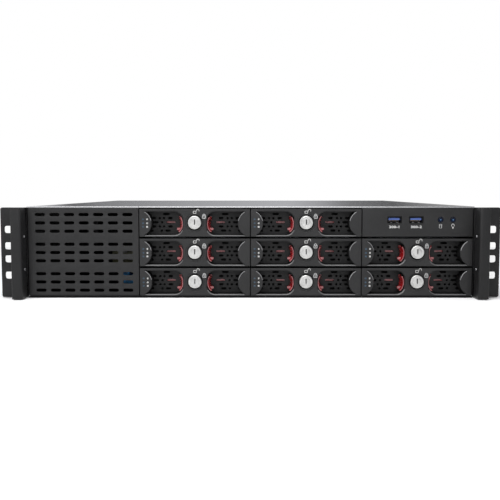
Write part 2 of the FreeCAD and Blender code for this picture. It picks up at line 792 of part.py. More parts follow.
def make_power_supply():
    """Power supply: vented steel case with a mains inlet and a fan grille in its rear face."""
    x0 = supply_left()
    x1 = x0 + supply_width
    y1 = panel_inner
    y0 = y1 - supply_length
    z0 = floor_sheet
    z1 = z0 + supply_height
    case = box(x0, x1, y0, y1, z0, z1).cut(box(x0 + sheet, x1 - sheet, y0 + sheet, y1 - sheet,
                                               z0 + sheet, z1 - sheet))
    cuts = []
    for index in range(9):
        z = z0 + 10.0 + index * (supply_height - 20.0) / 8
        for column in range(4):
            x = x0 + supply_width * (column + 0.5) / 4
            cuts.append(slot(x, z, y0 - 1, y0 + sheet + 1, supply_width / 4 - 6.0, 3.0))
    grille_x = x0 + supply_width * 0.66
    grille_z = z0 + supply_height * 0.5
    for ring in range(1, 6):
        count = 5 * ring
        for index in range(count):
            angle = 2 * math.pi * index / count
            radius = 4.4 * ring
            cuts.append(rod(grille_x + radius * math.cos(angle), grille_z + radius * math.sin(angle),
                            y1 - sheet - 1, y1 + 1, 1.7))
    for x, z in supply_screw_places():
        cuts.append(rod(x, z, y1 - sheet - 1, y1 + 1, screw_shank + screw_hole_gap))
    inlet_x, inlet_z = inlet_place()
    outer = box(inlet_x - inlet_width / 2 - 1.5, inlet_x + inlet_width / 2 + 1.5, y1 - inlet_depth - 2, y1 + 1.0,
                inlet_z - inlet_height / 2 - 1.5, inlet_z + inlet_height / 2 + 1.5)
    mouth = box(inlet_x - inlet_width / 2, inlet_x + inlet_width / 2, y1 - inlet_depth, y1 + 2,
                inlet_z - inlet_height / 2, inlet_z + inlet_height / 2)
    pins = [box(inlet_x + dx - 1.0, inlet_x + dx + 1.0, y1 - inlet_depth - 1, y1 - inlet_depth + 9.0,
                inlet_z + dz - 2.0, inlet_z + dz + 2.0) for dx, dz in ((-7.0, -1.5), (0.0, 2.5), (7.0, -1.5))]
    return joined([less(case, cuts), outer]).cut(mouth).fuse(pins)


def fan_z():
    return floor_sheet + fan_size / 2


def make_fan_housing(x):
    """Square fan frame, and the struts that hold the motor boss in its duct."""
    z = fan_z()
    half = fan_size / 2
    duct = half - fan_wall
    y0 = fan_y
    y1 = fan_y + fan_depth
    frame = box(x - half, x + half, y0, y1, z - half, z + half).cut(rod(x, z, y0 - 1, y1 + 1, duct))
    corner = half - 4.3
    holes = [rod(x + sx * corner, z + sz * corner, y0 - 1, y1 + 1, 2.15) for sx in (-1, 1) for sz in (-1, 1)]
    boss = rod(x, z, y1 - fan_strut, y1, fan_motor_radius)
    sleeve = rod(x, z, y0 + 8.0, y1, 4.0)
    struts = []
    for index in range(4):
        strut = box(x + fan_motor_radius - 1, x + duct + 1, y1 - fan_strut, y1, z - 1.5, z + 1.5)
        strut.rotate(FreeCAD.Vector(x, 0, z), FreeCAD.Vector(0, 1, 0), 45 + 90 * index)
        struts.append(strut)
    bore = rod(x, z, y0, y1 - 1.0, fan_shaft_radius + running_clearance)
    spider = joined([boss, sleeve] + struts).common(rod(x, z, y0, y1, duct - strut_fit))
    return [less(frame, holes), spider.cut(bore)]


def make_fan_rotor(x):
    """Impeller: cup over the motor, shaft and swept blades."""
    z = fan_z()
    y0 = fan_y + 2.0
    y1 = fan_y + fan_depth - fan_strut - 1.0
    cup = rod(x, z, y0, y1, fan_hub_radius).cut(rod(x, z, y0 + 2.0, y1 + 1, fan_hub_radius - 1.5))
    shaft = rod(x, z, y0 + 1.0, fan_y + fan_depth - 1.5, fan_shaft_radius)
    tip = fan_size / 2 - fan_wall - fan_tip_gap
    pitch = 40.0
    blades = []
    for index in range(fan_blades):
        blade = box(-0.8, 0.8, -(y1 - y0) * 0.5, (y1 - y0) * 0.5, fan_hub_radius - 0.8, tip + 3.0)
        blade.rotate(FreeCAD.Vector(0, 0, 0), FreeCAD.Vector(0, 0, 1), pitch)
        blade.translate(FreeCAD.Vector(x, (y0 + y1) / 2, z))
        blade.rotate(FreeCAD.Vector(x, 0, z), FreeCAD.Vector(0, 1, 0), 360.0 * index / fan_blades)
        blades.append(blade)
    sweep = rod(x, z, y0, y1, tip)
    core = rod(x, z, y0 - 1, y1 + 1, fan_hub_radius - 1.0)
    return joined([cup, shaft] + [blade.common(sweep).cut(core) for blade in blades])


def make_power_button():
    """Round rear push button with a collar behind the panel."""
    collar_y = panel_inner - 0.3 - button_travel
    cap = rod(button_x, button_z, collar_y, chassis_depth + button_proud, button_radius)
    edge = [edge for edge in cap.Edges if edge.BoundBox.YMin > chassis_depth + button_proud - 0.01]
    cap = cap.makeFillet(0.5, edge)
    collar = rod(button_x, button_z, panel_inner - 0.3 - 1.2, panel_inner - 0.3, button_radius + 1.2)
    stem_back = panel_inner - 2.0 - 6.0 + button_travel + 0.4
    stem = rod(button_x, button_z, stem_back, collar_y + 0.5, 1.6)
    return joined([cap, collar, stem])


# ---- build ------------------------------------------------------------------------------------------
def tray_places():
    """Column and row of each tray, numbered down each column from the left."""
    places = [(column, row) for column in range(1, columns) for row in range(rows - 1, -1, -1)]
    return [place for place in places if place != (columns - 1, rows - 1)]


def all_nodes():
    nodes = {
        "chassis_base": make_chassis_base(),
        "top_cover": make_top_cover(),
        "rear_panel": make_rear_panel(),
        "drive_cage": make_drive_cage(),
        "backplane": make_backplane(),
        "vent_panel": make_vent_panel(),
        "control_panel": make_control_panel(),
        "front_usb_board": make_usb_board(),
        "indicator_lights": make_indicator_lights(),
        "ear_right": make_ear(),
        "ear_left": mirrored(make_ear()),
        "screws": make_screws(),
        "mainboard": make_mainboard(),
        "heat_sink": make_heat_sink(),
        "power_supply": make_power_supply(),
        "power_button": make_power_button(),
    }
    housings = [solid for x in fan_places() for solid in make_fan_housing(x)]
    nodes["fan_housings"] = Part.makeCompound(housings)
    for index, x in enumerate(fan_places(), 1):
        nodes[f"fan_rotor_{index}"] = make_fan_rotor(x)
    tray = make_tray()
    drive = make_drive()
    latch = make_latch()
    lock = make_lock()
    for index, (column, row) in enumerate(tray_places(), 1):
        place = {"x": column_x(column), "z": front_z(row)}
        nodes[f"tray_{index}"] = moved(tray, **place)
        nodes[f"drive_{index}"] = moved(drive, **place)
        nodes[f"latch_right_{index}"] = moved(latch, **place)
        nodes[f"latch_left_{index}"] = moved(mirrored(latch), **place)
        nodes[f"lock_{index}"] = moved(lock, **place)
    return nodes


os.makedirs("parts", exist_ok=True)
for name, shape in all_nodes().items():
    moved(shape, y=whole_shift).exportStep(f"parts/{name}.step")
print("chassis height", round(chassis_height, 3), "half width", round(chassis_half, 3))
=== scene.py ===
import json
import logging
import math
from contextlib import contextmanager
from dataclasses import dataclass
from enum import Enum
from typing import Callable, ClassVar, Iterator, Sequence

import bmesh
import bpy
from mathutils import Matrix, Vector

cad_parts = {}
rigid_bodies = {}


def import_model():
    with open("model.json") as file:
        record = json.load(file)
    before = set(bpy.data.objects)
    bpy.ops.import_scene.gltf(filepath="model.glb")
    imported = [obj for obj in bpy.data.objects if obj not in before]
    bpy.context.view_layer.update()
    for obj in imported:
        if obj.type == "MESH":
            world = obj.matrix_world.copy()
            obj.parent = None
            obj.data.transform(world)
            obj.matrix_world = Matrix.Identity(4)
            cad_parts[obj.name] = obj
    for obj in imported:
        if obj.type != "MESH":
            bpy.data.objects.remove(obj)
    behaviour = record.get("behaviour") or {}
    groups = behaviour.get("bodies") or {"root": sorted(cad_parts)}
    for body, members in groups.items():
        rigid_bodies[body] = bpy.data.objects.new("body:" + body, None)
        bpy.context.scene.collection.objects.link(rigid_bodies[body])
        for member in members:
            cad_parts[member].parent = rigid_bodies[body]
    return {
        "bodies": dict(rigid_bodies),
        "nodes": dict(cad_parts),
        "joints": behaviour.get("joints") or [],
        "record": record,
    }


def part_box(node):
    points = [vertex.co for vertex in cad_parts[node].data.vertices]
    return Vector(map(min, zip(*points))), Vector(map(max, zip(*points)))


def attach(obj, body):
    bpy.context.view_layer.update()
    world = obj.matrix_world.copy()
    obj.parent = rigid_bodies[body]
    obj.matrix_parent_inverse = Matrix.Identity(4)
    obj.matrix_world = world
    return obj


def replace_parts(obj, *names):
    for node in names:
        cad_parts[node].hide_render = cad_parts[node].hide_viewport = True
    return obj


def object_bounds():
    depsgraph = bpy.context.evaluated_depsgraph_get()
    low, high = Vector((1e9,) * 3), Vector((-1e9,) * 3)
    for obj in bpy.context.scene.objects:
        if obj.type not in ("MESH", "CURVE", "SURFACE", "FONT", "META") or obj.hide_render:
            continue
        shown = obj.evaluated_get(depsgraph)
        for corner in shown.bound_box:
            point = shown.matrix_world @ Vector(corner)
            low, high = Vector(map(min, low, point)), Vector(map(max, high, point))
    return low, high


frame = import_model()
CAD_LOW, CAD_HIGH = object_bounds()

LOG = logging.getLogger("storage_unit")
MM = 0.001
X, Y, Z = range(3)
CHASSIS = "chassis"
Colour = tuple[float, float, float]
Test = Callable[[Vector, Vector], bool]


# ---- tests for edges and faces -----------------------------------------------------------------------
def along(axis: int) -> Test:
    """Test for edges that run along an axis."""
    return lambda mid, way: abs(way[axis]) > 0.9


def facing(axis: int, sign: int) -> Test:
    """Test for faces that look along an axis, forwards or backwards."""
    return lambda mid, normal: sign * normal[axis] > 0.9


def at(axis: int, value: float, near: float = 0.01) -> Test:
    """Test for middles that lie at a value along an axis.

    Args:
        axis: X, Y or Z.
        value: the place, in millimetres.
        near: how far off still counts, in millimetres.

    Returns:
        The test.
    """
    return lambda mid, way: abs(mid[axis] - value * MM) < near * MM


def beyond(axis: int, value: float, sign: int = 1) -> Test:
    """Test for middles past a value along an axis, or short of it where the sign is -1."""
    return lambda mid, way: sign * mid[axis] > sign * value * MM


def every(*tests: Test) -> Test:
    """Test that passes where all of several tests pass."""
    return lambda mid, way: all(test(mid, way) for test in tests)


ALONG_X, ALONG_Y, ALONG_Z = along(X), along(Y), along(Z)
FRONT_FACES, BACK_FACES = facing(Y, -1), facing(Y, 1)


# ---- bench tools -------------------------------------------------------------------------------------
def deselect_all() -> None:
    """Leave object mode with nothing selected."""
    for shown in bpy.context.view_layer.objects:
        shown.select_set(False)


def activate(piece: bpy.types.Object) -> None:
    """Select one piece alone and make it the active one.

    Args:
        piece: the piece that the next operator works on.
    """
    deselect_all()
    piece.select_set(True)
    bpy.context.view_layer.objects.active = piece


@contextmanager
def editing(piece: bpy.types.Object) -> Iterator[bmesh.types.BMesh]:
    """Edit mode on one piece, entered with nothing selected.

    Args:
        piece: the piece to edit.

    Returns:
        The edit mesh, for selecting in code.
    """
    activate(piece)
    bpy.ops.object.mode_set(mode="EDIT")
    bpy.ops.mesh.select_mode(type="EDGE")
    bpy.ops.mesh.select_all(action="DESELECT")
    yield bmesh.from_edit_mesh(piece.data)
    bpy.ops.object.mode_set(mode="OBJECT")


def pick_edges(piece: bpy.types.Object, mesh: bmesh.types.BMesh, test: Test) -> int:
    """Select the edges whose middle and direction pass a test.

    Args:
        piece: the piece in edit mode.
        mesh: its edit mesh.
        test: says yes or no to an edge's middle and unit direction.

    Returns:
        How many edges were selected.
    """
    count = 0
    for edge in mesh.edges:
        start, end = (vertex.co for vertex in edge.verts)
        span = end - start
        if span.length > 0 and test((start + end) / 2, span.normalized()):
            edge.select = True
            count += 1
    bmesh.update_edit_mesh(piece.data)
    return count


def pick_faces(piece: bpy.types.Object, mesh: bmesh.types.BMesh, test: Test) -> None:
    """Select the faces whose middle and normal pass a test.

    Args:
        piece: the piece in edit mode.
        mesh: its edit mesh.
        test: says yes or no to a face's middle and normal.
    """
    bpy.ops.mesh.select_mode(type="FACE")
    for face in mesh.faces:
        if test(face.calc_center_median(), face.normal):
            face.select = True
    bmesh.update_edit_mesh(piece.data)


@contextmanager
def picked(piece: bpy.types.Object, test: Test) -> Iterator[None]:
    """Edit mode on one piece with the faces that pass a test selected.

    Args:
        piece: the piece to edit.
        test: says yes or no to a face's middle and normal.
    """
    with editing(piece) as mesh:
        pick_faces(piece, mesh, test)
        yield


def apply_place(piece: bpy.types.Object) -> None:
    """Move a piece's place, turn and scale into its mesh."""
    activate(piece)
    bpy.ops.object.transform_apply(location=True, rotation=True, scale=True)


def block(name: str, low: Sequence[float], high: Sequence[float]) -> bpy.types.Object:
    """A box between two corners, in millimetres.

    Args:
        name: the piece's name.
        low: its lowest corner.
        high: its highest corner.

    Returns:
        The new object, at the origin.
    """
    low_corner, high_corner = Vector(low) * MM, Vector(high) * MM
    deselect_all()
    bpy.ops.mesh.primitive_cube_add(size=1, location=(low_corner + high_corner) / 2,
                                    scale=high_corner - low_corner)
    piece = bpy.context.active_object
    piece.name = name
    apply_place(piece)
    return piece


def rod(name: str, start: Sequence[float], end: Sequence[float], radius: float, sides: int = 40,
        tip_radius: float | None = None) -> bpy.types.Object:
    """A cylinder or cone between two points, in millimetres.

    Args:
        name: the piece's name.
        start: middle of the first end.
        end: middle of the second end.
        radius: radius at the first end.
        sides: number of sides.
        tip_radius: radius at the second end, where it differs.

    Returns:
        The new object, at the origin.
    """
    first, second = Vector(start) * MM, Vector(end) * MM
    axis = second - first
    deselect_all()
    bpy.ops.mesh.primitive_cone_add(vertices=sides, radius1=radius * MM,
                                    radius2=(radius if tip_radius is None else tip_radius) * MM,
                                    depth=axis.length, location=(first + second) / 2,
                                    rotation=axis.to_track_quat("Z", "Y").to_euler())
    piece = bpy.context.active_object
    piece.name = name
    apply_place(piece)
    return piece


def join(pieces: Sequence[bpy.types.Object], name: str) -> bpy.types.Object:
    """Join several pieces into one mesh.

    Args:
        pieces: the pieces, at least one.
        name: the joined piece's name.

    Returns:
        The joined piece.
    """
    deselect_all()
    for piece in pieces:
        piece.select_set(True)
    bpy.context.view_layer.objects.active = pieces[0]
    if len(pieces) > 1:
        bpy.ops.object.join()
    pieces[0].name = name
    return pieces[0]


def run_modifier(piece: bpy.types.Object, kind: str, **settings: object) -> None:
    """Add a modifier, set it up and apply it.

    Args:
        piece: the piece to change.
        kind: the modifier's type.
        settings: its settings.
    """
    modifier = piece.modifiers.new(kind.lower(), kind)
    for key, value in settings.items():
        setattr(modifier, key, value)
    activate(piece)
    bpy.ops.object.modifier_apply(modifier=modifier.name)


def combine(piece: bpy.types.Object, others: Sequence[bpy.types.Object], how: str) -> bpy.types.Object:
    """Boolean of a piece with others, which are used up.

    Args:
        piece: the piece that stays.
        others: cutters or additions.
        how: DIFFERENCE, UNION or INTERSECT.

    Returns:
        The changed piece.
    """
    for other in others:
        run_modifier(piece, "BOOLEAN", object=other, operation=how, solver="EXACT")
        bpy.data.objects.remove(other)
    return piece


def bevel(piece: bpy.types.Object, test: Test, width: float, segments: int) -> bpy.types.Object:
    """Round the edges that pass a test.

    Args:
        piece: the piece to change.
        test: says yes or no to an edge's middle and direction.
        width: bevel width in millimetres.
        segments: steps across the bevel.

    Returns:
        The same piece.
    """
    with editing(piece) as mesh:
        if pick_edges(piece, mesh, test):
            bpy.ops.mesh.bevel(offset=width * MM, offset_type="OFFSET", segments=segments, affect="EDGES",
                               clamp_overlap=True, miter_outer="ARC" if segments > 1 else "SHARP")
    return piece


def soften(piece: bpy.types.Object, width: float, segments: int = 2, angle: float = 40.0) -> bpy.types.Object:
    """Round every sharp edge of a piece a little.

    Args:
        piece: the piece to change.
        width: bevel width in millimetres.
        segments: steps across the bevel.
        angle: edges sharper than this many degrees are rounded.

    Returns:
        The same piece.
    """
    run_modifier(piece, "BEVEL", width=width * MM, segments=segments, limit_method="ANGLE",
                 angle_limit=math.radians(angle), use_clamp_overlap=True, harden_normals=False)
    return piece


def smooth(piece: bpy.types.Object, angle: float = 35.0) -> bpy.types.Object:
    """Shade a piece smooth except across its sharp edges, and hand it back."""
    activate(piece)
    bpy.ops.object.shade_smooth_by_angle(angle=math.radians(angle))
    return piece


def clean(piece: bpy.types.Object) -> None:
    """Merge doubled points and point all faces outwards."""
    with editing(piece):
        bpy.ops.mesh.select_all(action="SELECT")
        bpy.ops.mesh.remove_doubles(threshold=1e-6)
        bpy.ops.mesh.normals_make_consistent(inside=False)


def copy_of(piece: bpy.types.Object, name: str, shift: Vector = Vector(), mirror: bool = False
            ) -> bpy.types.Object:
    """Copy a piece with its own mesh, moved or mirrored left to right.

    Args:
        piece: the piece to copy.
        name: the copy's name.
        shift: how far the copy moves, in metres.
        mirror: whether it is mirrored about X = 0 before it moves.

    Returns:
        The copy, at the origin.
    """
    activate(piece)
    bpy.ops.object.duplicate(linked=False)
    twin = bpy.context.active_object
    twin.name = name
    if mirror:
        twin.data.transform(Matrix.Scale(-1, 4, Vector((1, 0, 0))))
        twin.data.flip_normals()
    twin.data.transform(Matrix.Translation(shift))
    return twin


def plate(name: str, x: float, z: float, width: float, height: float, front: float, back: float
          ) -> bpy.types.Object:
    """A box round a place on the front plane, in millimetres.

    Args:
        name: the piece's name.
        x: place of its middle.
        z: height of its middle.
        width: width along X.
        height: height along Z.
        front: Y of its front.
        back: Y of its back.

    Returns:
        The new object, at the origin.
    """
    return block(name, (x - width / 2, front, z - height / 2), (x + width / 2, back, z + height / 2))


def discard(*pieces: bpy.types.Object) -> None:
    """Remove master pieces that were only there to be copied."""
    for piece in pieces:
        bpy.data.objects.remove(piece)


def stadium(name: str, middle: Sequence[float], length: float, height: float, depth: float,
            sides: int = 8) -> bpy.types.Object:
    """Round-ended bar along X, used to cut slots along Y.

    Args:
        name: the piece's name.
        middle: its middle, in millimetres.
        length: length along X.
        height: height along Z.
        depth: depth along Y.
        sides: steps across each round end.

    Returns:
        The new object.
    """
    x, y, z = middle
    piece = block(name, (x - length / 2, y - depth / 2, z - height / 2),
                  (x + length / 2, y + depth / 2, z + height / 2))
    return bevel(piece, ALONG_Y, height / 2 * 0.999, sides)


# ---- finishes ----------------------------------------------------------------------------------------
class Nodes:
    """A node tree, with short calls to add and link nodes."""

    def __init__(self, tree: bpy.types.NodeTree) -> None:
        """Work on a tree.

        Args:
            tree: the node tree.
        """
        self.tree = tree

    def add(self, kind: str, **values: object) -> bpy.types.Node:
        """Add a node and set its properties or inputs by name.

        Args:
            kind: the node's type.
            values: properties, or inputs with spaces written as underscores.

        Returns:
            The node.
        """
        node = self.tree.nodes.new(kind)
        for key, value in values.items():
            if hasattr(node, key):
                setattr(node, key, value)
            else:
                node.inputs[key.replace("_", " ")].default_value = value
        return node

    def link(self, source: bpy.types.NodeSocket, target: bpy.types.NodeSocket) -> None:
        """Link an output to an input."""
        self.tree.links.new(source, target)


@dataclass(frozen=True)
class Noise:
    """Noise of one grain, in millimetres, and the two values that it runs between."""

    grain: float
    low: float = 0.0
    high: float = 0.0
    detail: float = 3.0
    stretch: tuple[float, float, float] = (1, 1, 1)


class Sheet(Nodes):
    """The node tree of one material."""

    def __init__(self, name: str) -> None:
        """Start a material with a Principled shader.

        Args:
            name: the material's name.
        """
        self.material = bpy.data.materials.new(name)
        self.material.use_nodes = True
        super().__init__(self.material.node_tree)
        self.shader = self.tree.nodes["Principled BSDF"]
        self.place = self.add("ShaderNodeTexCoord")

    def set(self, **values: object) -> None:
        """Set constants on the shader's own sockets."""
        for key, value in values.items():
            self.shader.inputs[key.replace("_", " ")].default_value = value

    def stretched(self, stretch: Sequence[float]) -> bpy.types.NodeSocket:
        """Object coordinates scaled by a factor along each axis."""
        mapping = self.add("ShaderNodeMapping")
        mapping.inputs["Scale"].default_value = stretch
        self.link(self.place.outputs["Object"], mapping.inputs["Vector"])
        return mapping.outputs["Vector"]

    def noise(self, kind: Noise) -> bpy.types.NodeSocket:
        """Value of a noise whose features are about one grain across."""
        noise = self.add("ShaderNodeTexNoise", Scale=1 / (kind.grain * MM), Detail=kind.detail)
        self.link(self.stretched(kind.stretch), noise.inputs["Vector"])
        return noise.outputs["Fac"]

    def gloss(self, source: bpy.types.NodeSocket, low: float, high: float) -> None:
        """Roughness that runs over a range with a value."""
        ranger = self.add("ShaderNodeMapRange", From_Min=0.3, From_Max=0.7, To_Min=low, To_Max=high)
        self.link(source, ranger.inputs["Value"])
        self.link(ranger.outputs["Result"], self.shader.inputs["Roughness"])

    def colour_between(self, source: bpy.types.NodeSocket, first: Colour, second: Colour) -> None:
        """Base colour that runs from one colour to another with a value."""
        ramp = self.add("ShaderNodeValToRGB")
        ramp.color_ramp.elements[0].position = 0.3
        ramp.color_ramp.elements[1].position = 0.7
        ramp.color_ramp.elements[0].color = (*first, 1)
        ramp.color_ramp.elements[1].color = (*second, 1)
        self.link(source, ramp.inputs["Fac"])
        self.link(ramp.outputs["Color"], self.shader.inputs["Base Color"])

    def bump(self, source: bpy.types.NodeSocket, height: float) -> None:
        """Fine relief, its height in millimetres."""
        bump = self.add("ShaderNodeBump", Strength=1.0, Distance=height * MM)
        self.link(source, bump.inputs["Height"])
        self.link(bump.outputs["Normal"], self.shader.inputs["Normal"])


def shade(colour: Colour, factor: float) -> Colour:
    """A colour made lighter or darker by a factor."""
    return tuple(min(channel * factor, 1.0) for channel in colour)


@dataclass(frozen=True)
class Surface:
    """A finish whose colour, gloss and relief each follow a noise of their own."""

    name: str
    colour: Colour
    roughness: float = 0.5
    specular: float = 0.5
    tint: ClassVar[Noise] = Noise(24.0, 0.88, 1.12, 2.0)
    sheen: ClassVar[Noise] = Noise(3.0, -0.06, 0.06)
    relief: ClassVar[Noise] = Noise(0.35, 0.0, 0.02, 2.0)
    metallic: ClassVar[float] = 0.0
    refraction: ClassVar[float] = 1.5

    def constants(self) -> dict[str, object]:
        """Constants for the shader's own sockets."""
        return {"Metallic": self.metallic, "Specular_IOR_Level": self.specular, "IOR": self.refraction}

    def tint_source(self, sheet: Sheet) -> bpy.types.NodeSocket:
        """The value that the colour follows."""
        return sheet.noise(self.tint)

    def material(self) -> bpy.types.Material:
        """Build the material."""
        sheet = Sheet(self.name)
        sheet.set(**self.constants())
        sheet.colour_between(self.tint_source(sheet), shade(self.colour, self.tint.low),
                             shade(self.colour, self.tint.high))
        sheet.gloss(sheet.noise(self.sheen), self.roughness + self.sheen.low, self.roughness + self.sheen.high)
        if self.relief.high:
            sheet.bump(sheet.noise(self.relief), self.relief.high)
        return sheet.material


class Moulding(Surface):
    """Injection-moulded plastic with a spark-eroded grain."""


class SmoothMoulding(Surface):
    """Injection-moulded plastic from a polished tool."""

    relief = Noise(0.4, 0.0, 0.005, 2.0)


class PowderCoat(Surface):
    """Baked paint on sheet steel: fine orange peel and a slight change of gloss."""

    tint, sheen, relief = Noise(60.0, 0.92, 1.08, 2.0), Noise(8.0, -0.05, 0.07), Noise(0.9, 0.0, 0.02, 2.0)


class SheetSteel(Surface):
    """Zinc-plated or satin sheet with a rolling direction along Y."""

    rolled: ClassVar[tuple[float, float, float]] = (1, 0.03, 1)
    tint = Noise(0.5, 0.9, 1.05, 3.0, rolled)
    sheen, relief = Noise(0.5, -0.06, 0.08, 3.0, rolled), Noise(0.5, 0.0, 0.004, 3.0, rolled)
    metallic = 1.0
    spangle: ClassVar[float] = 6.0
    spangle_share: ClassVar[float] = 0.25

    def tint_source(self, sheet: Sheet) -> bpy.types.NodeSocket:
        """Rolling lines with a little zinc spangle."""
        spangle = sheet.add("ShaderNodeTexVoronoi", Scale=1 / (self.spangle * MM))
        sheet.link(sheet.stretched((1, 1, 1)), spangle.inputs["Vector"])
        mix = sheet.add("ShaderNodeMath", operation="MULTIPLY_ADD")
        mix.inputs[1].default_value = self.spangle_share
        sheet.link(spangle.outputs["Color"], mix.inputs[0])
        sheet.link(sheet.noise(self.tint), mix.inputs[2])
        return mix.outputs["Value"]


class Casting(Surface):
    """Cast or milled aluminium."""

    tint, sheen, relief = Noise(9.0, 0.93, 1.05), Noise(1.5, -0.06, 0.08), Noise(0.5, 0.0, 0.012)
    metallic = 1.0


class Plating(Surface):
    """Bright plated metal with faint turning rings about the Y axis of each lock or screw."""

    rings: ClassVar[tuple[float, float, float]] = (0.3, 1, 3)
    tint, sheen = Noise(2.0, 0.96, 1.03), Noise(0.25, -0.05, 0.05, 2.0, rings)
    relief = Noise(0.25, 0.0, 0.002, 2.0, rings)
    metallic = 1.0


@dataclass(frozen=True)
class GlossPlastic(Surface):
    """Polished plastic with a thin clear skin."""

    coat: float = 0.3
    glow: float = 0.0
    tint, sheen, relief = Noise(4.0, 0.85, 1.15, 2.0), Noise(1.2, -0.05, 0.08), Noise(1.6, 0.0, 0.01, 2.0)
    refraction = 1.49

    def constants(self) -> dict[str, object]:
        """Constants for the shader's own sockets."""
        glow = {"Emission_Color": (*self.colour, 1), "Emission_Strength": self.glow} if self.glow else {}
        return Surface.constants(self) | {"Coat_Weight": self.coat, "Coat_Roughness": 0.08} | glow


class Ink(Surface):
    """Screen-printed ink with slightly uneven cover."""

    tint, sheen, relief = Noise(0.5, 0.8, 1.0), Noise(0.3, 0.0, 0.15), Noise(0.5)


@dataclass(frozen=True)
class CircuitBoard:
    """Solder mask over copper tracks and plated holes."""

    name: str
    mask: Colour = (0.012, 0.09, 0.035)
    track: Colour = (0.03, 0.17, 0.07)

    def material(self) -> bpy.types.Material:
        """Build the material."""
        sheet = Sheet(self.name)
        sheet.set(Roughness=0.32, Coat_Weight=0.2)
        tracks = sheet.add("ShaderNodeTexBrick", Scale=1 / (14.0 * MM), Mortar_Size=0.05, Brick_Width=0.9,
                           Row_Height=0.16, Mortar_Smooth=0.1)
        tracks.inputs["Color1"].default_value = (*self.mask, 1)
        tracks.inputs["Color2"].default_value = (*shade(self.mask, 1.25), 1)
        tracks.inputs["Mortar"].default_value = (*self.track, 1)
        turned = sheet.add("ShaderNodeMapping")
        turned.inputs["Rotation"].default_value = (math.radians(18), math.radians(12), 0)
        sheet.link(sheet.place.outputs["Object"], turned.inputs["Vector"])
        sheet.link(turned.outputs["Vector"], tracks.inputs["Vector"])
        sheet.link(tracks.outputs["Color"], sheet.shader.inputs["Base Color"])
        sheet.bump(tracks.outputs["Fac"], 0.02)
        return sheet.material


class Finish(Enum):
    """Every finish on the unit."""

    FRONT = Moulding("front_black", (0.0195, 0.0195, 0.02), 0.5, 0.25)
    PANEL = Moulding("panel_black", (0.0165, 0.0165, 0.017), 0.5, 0.25)
    # Painted highlights: lighter copies of the front plastic for the up-facing bevels of the recesses; the arc copy is
    # brighter and goes on the upper half only.
    RIM = Moulding("rim_painted_highlight", (0.085, 0.085, 0.087), 0.4)
    ARC = Moulding("arc_painted_highlight", (0.20, 0.20, 0.205), 0.35)
    # Painted shade: darker copy of the black plastic for recess interiors, tray rails, the pad on each drive front and
    # the bracket behind the vent slots.
    INNER = Moulding("inner_painted_shade", (0.006, 0.006, 0.0062), 0.7, 0.2)
    EAR = PowderCoat("ear_black", (0.0105, 0.0105, 0.011), 0.45, 0.25)
    BASE = PowderCoat("base_black", (0.005, 0.005, 0.0055), 0.5, 0.12)
    # Painted shade: dark copy of the zinc steel for the drive cage, so that it stays in shade behind the vent slots.
    CAGE = SheetSteel("zinc_painted_shade", (0.03, 0.03, 0.032), 0.5)
    COVER = SheetSteel("cover_steel", (0.42, 0.42, 0.43), 0.2)
    ZINC = SheetSteel("zinc_steel", (0.62, 0.63, 0.64), 0.3)
    DRIVE = Casting("drive_casting", (0.56, 0.57, 0.59), 0.42)
    DRIVE_LID = Casting("drive_lid", (0.70, 0.71, 0.72), 0.3)
    SINK = Casting("sink_alloy", (0.74, 0.75, 0.77), 0.35)
    LATCH = GlossPlastic("latch_red", (0.24, 0.006, 0.008), 0.22)
    # Painted highlight: pale copy of the latch red for its front-facing edges.
    LATCH_EDGE = GlossPlastic("latch_red_highlight", (0.32, 0.105, 0.11), 0.3)
    HOOK = PowderCoat("hook_black", (0.004, 0.004, 0.004), 0.6, 0.1)
    LOCK = Plating("lock_nickel", (0.55, 0.55, 0.54), 0.34)
    # Painted shade: dark block at the bottom of the lock's key slit.
    KEYWAY = Moulding("keyway_shade", (0.03, 0.03, 0.03), 0.5)
    SCREW = Plating("screw_nickel", (0.66, 0.66, 0.67), 0.28)
    SCREW_DARK = Plating("screw_dark", (0.28, 0.28, 0.29), 0.4)
    SHELL = Plating("socket_shell", (0.75, 0.75, 0.76), 0.22)
    # Painted shade: dark copy of the socket plating for the front socket shells.
    SHELL_DARK = Plating("socket_shell_shade", (0.10, 0.10, 0.105), 0.4)
    GOLD = Plating("contact_gold", (0.83, 0.60, 0.24), 0.25)
    # Painted shade: black for the frames inside the front socket mouths.
    SOCKET = Moulding("socket_painted_shade", (0.004, 0.004, 0.004), 0.6, 0.15)
    TONGUE = GlossPlastic("tongue_blue", (0.06, 0.12, 0.40), 0.4)
    LENS = SmoothMoulding("lens_blue", (0.002, 0.006, 0.02), 0.3, 0.15)
    # Painted highlight: the faint glow of the lens core stands in for the highlight at the lens centre.
    CORE = GlossPlastic("lens_core", (0.05, 0.15, 0.30), 0.3, coat=0.1, glow=0.12)
    STATUS = GlossPlastic("status_window", (0.012, 0.035, 0.06), 0.3, coat=0.4)
    BOARD = CircuitBoard("board_green")
    OLIVE = CircuitBoard("board_olive", (0.035, 0.035, 0.010), (0.06, 0.06, 0.02))
    PLUG = GlossPlastic("plug_blue", (0.0, 0.16, 0.40), 0.4)
    CHIP_GREY = Moulding("chip_grey", (0.16, 0.16, 0.16), 0.45)
    CHIP = Moulding("chip_black", (0.02, 0.02, 0.022), 0.4)
    FAN = Moulding("fan_black", (0.022, 0.022, 0.024), 0.45)
    BUTTON = GlossPlastic("button_black", (0.03, 0.03, 0.033), 0.3)
    PRINT = Ink("print_grey", (0.44, 0.44, 0.43))
    PRINT_BOLD = Ink("print_white", (0.62, 0.62, 0.61))
    PRINT_DIM = Ink("print_dim", (0.40, 0.40, 0.40))
    FOIL = Casting("label_foil", (0.80, 0.80, 0.79), 0.45)


_materials: dict[Finish, bpy.types.Material] = {}


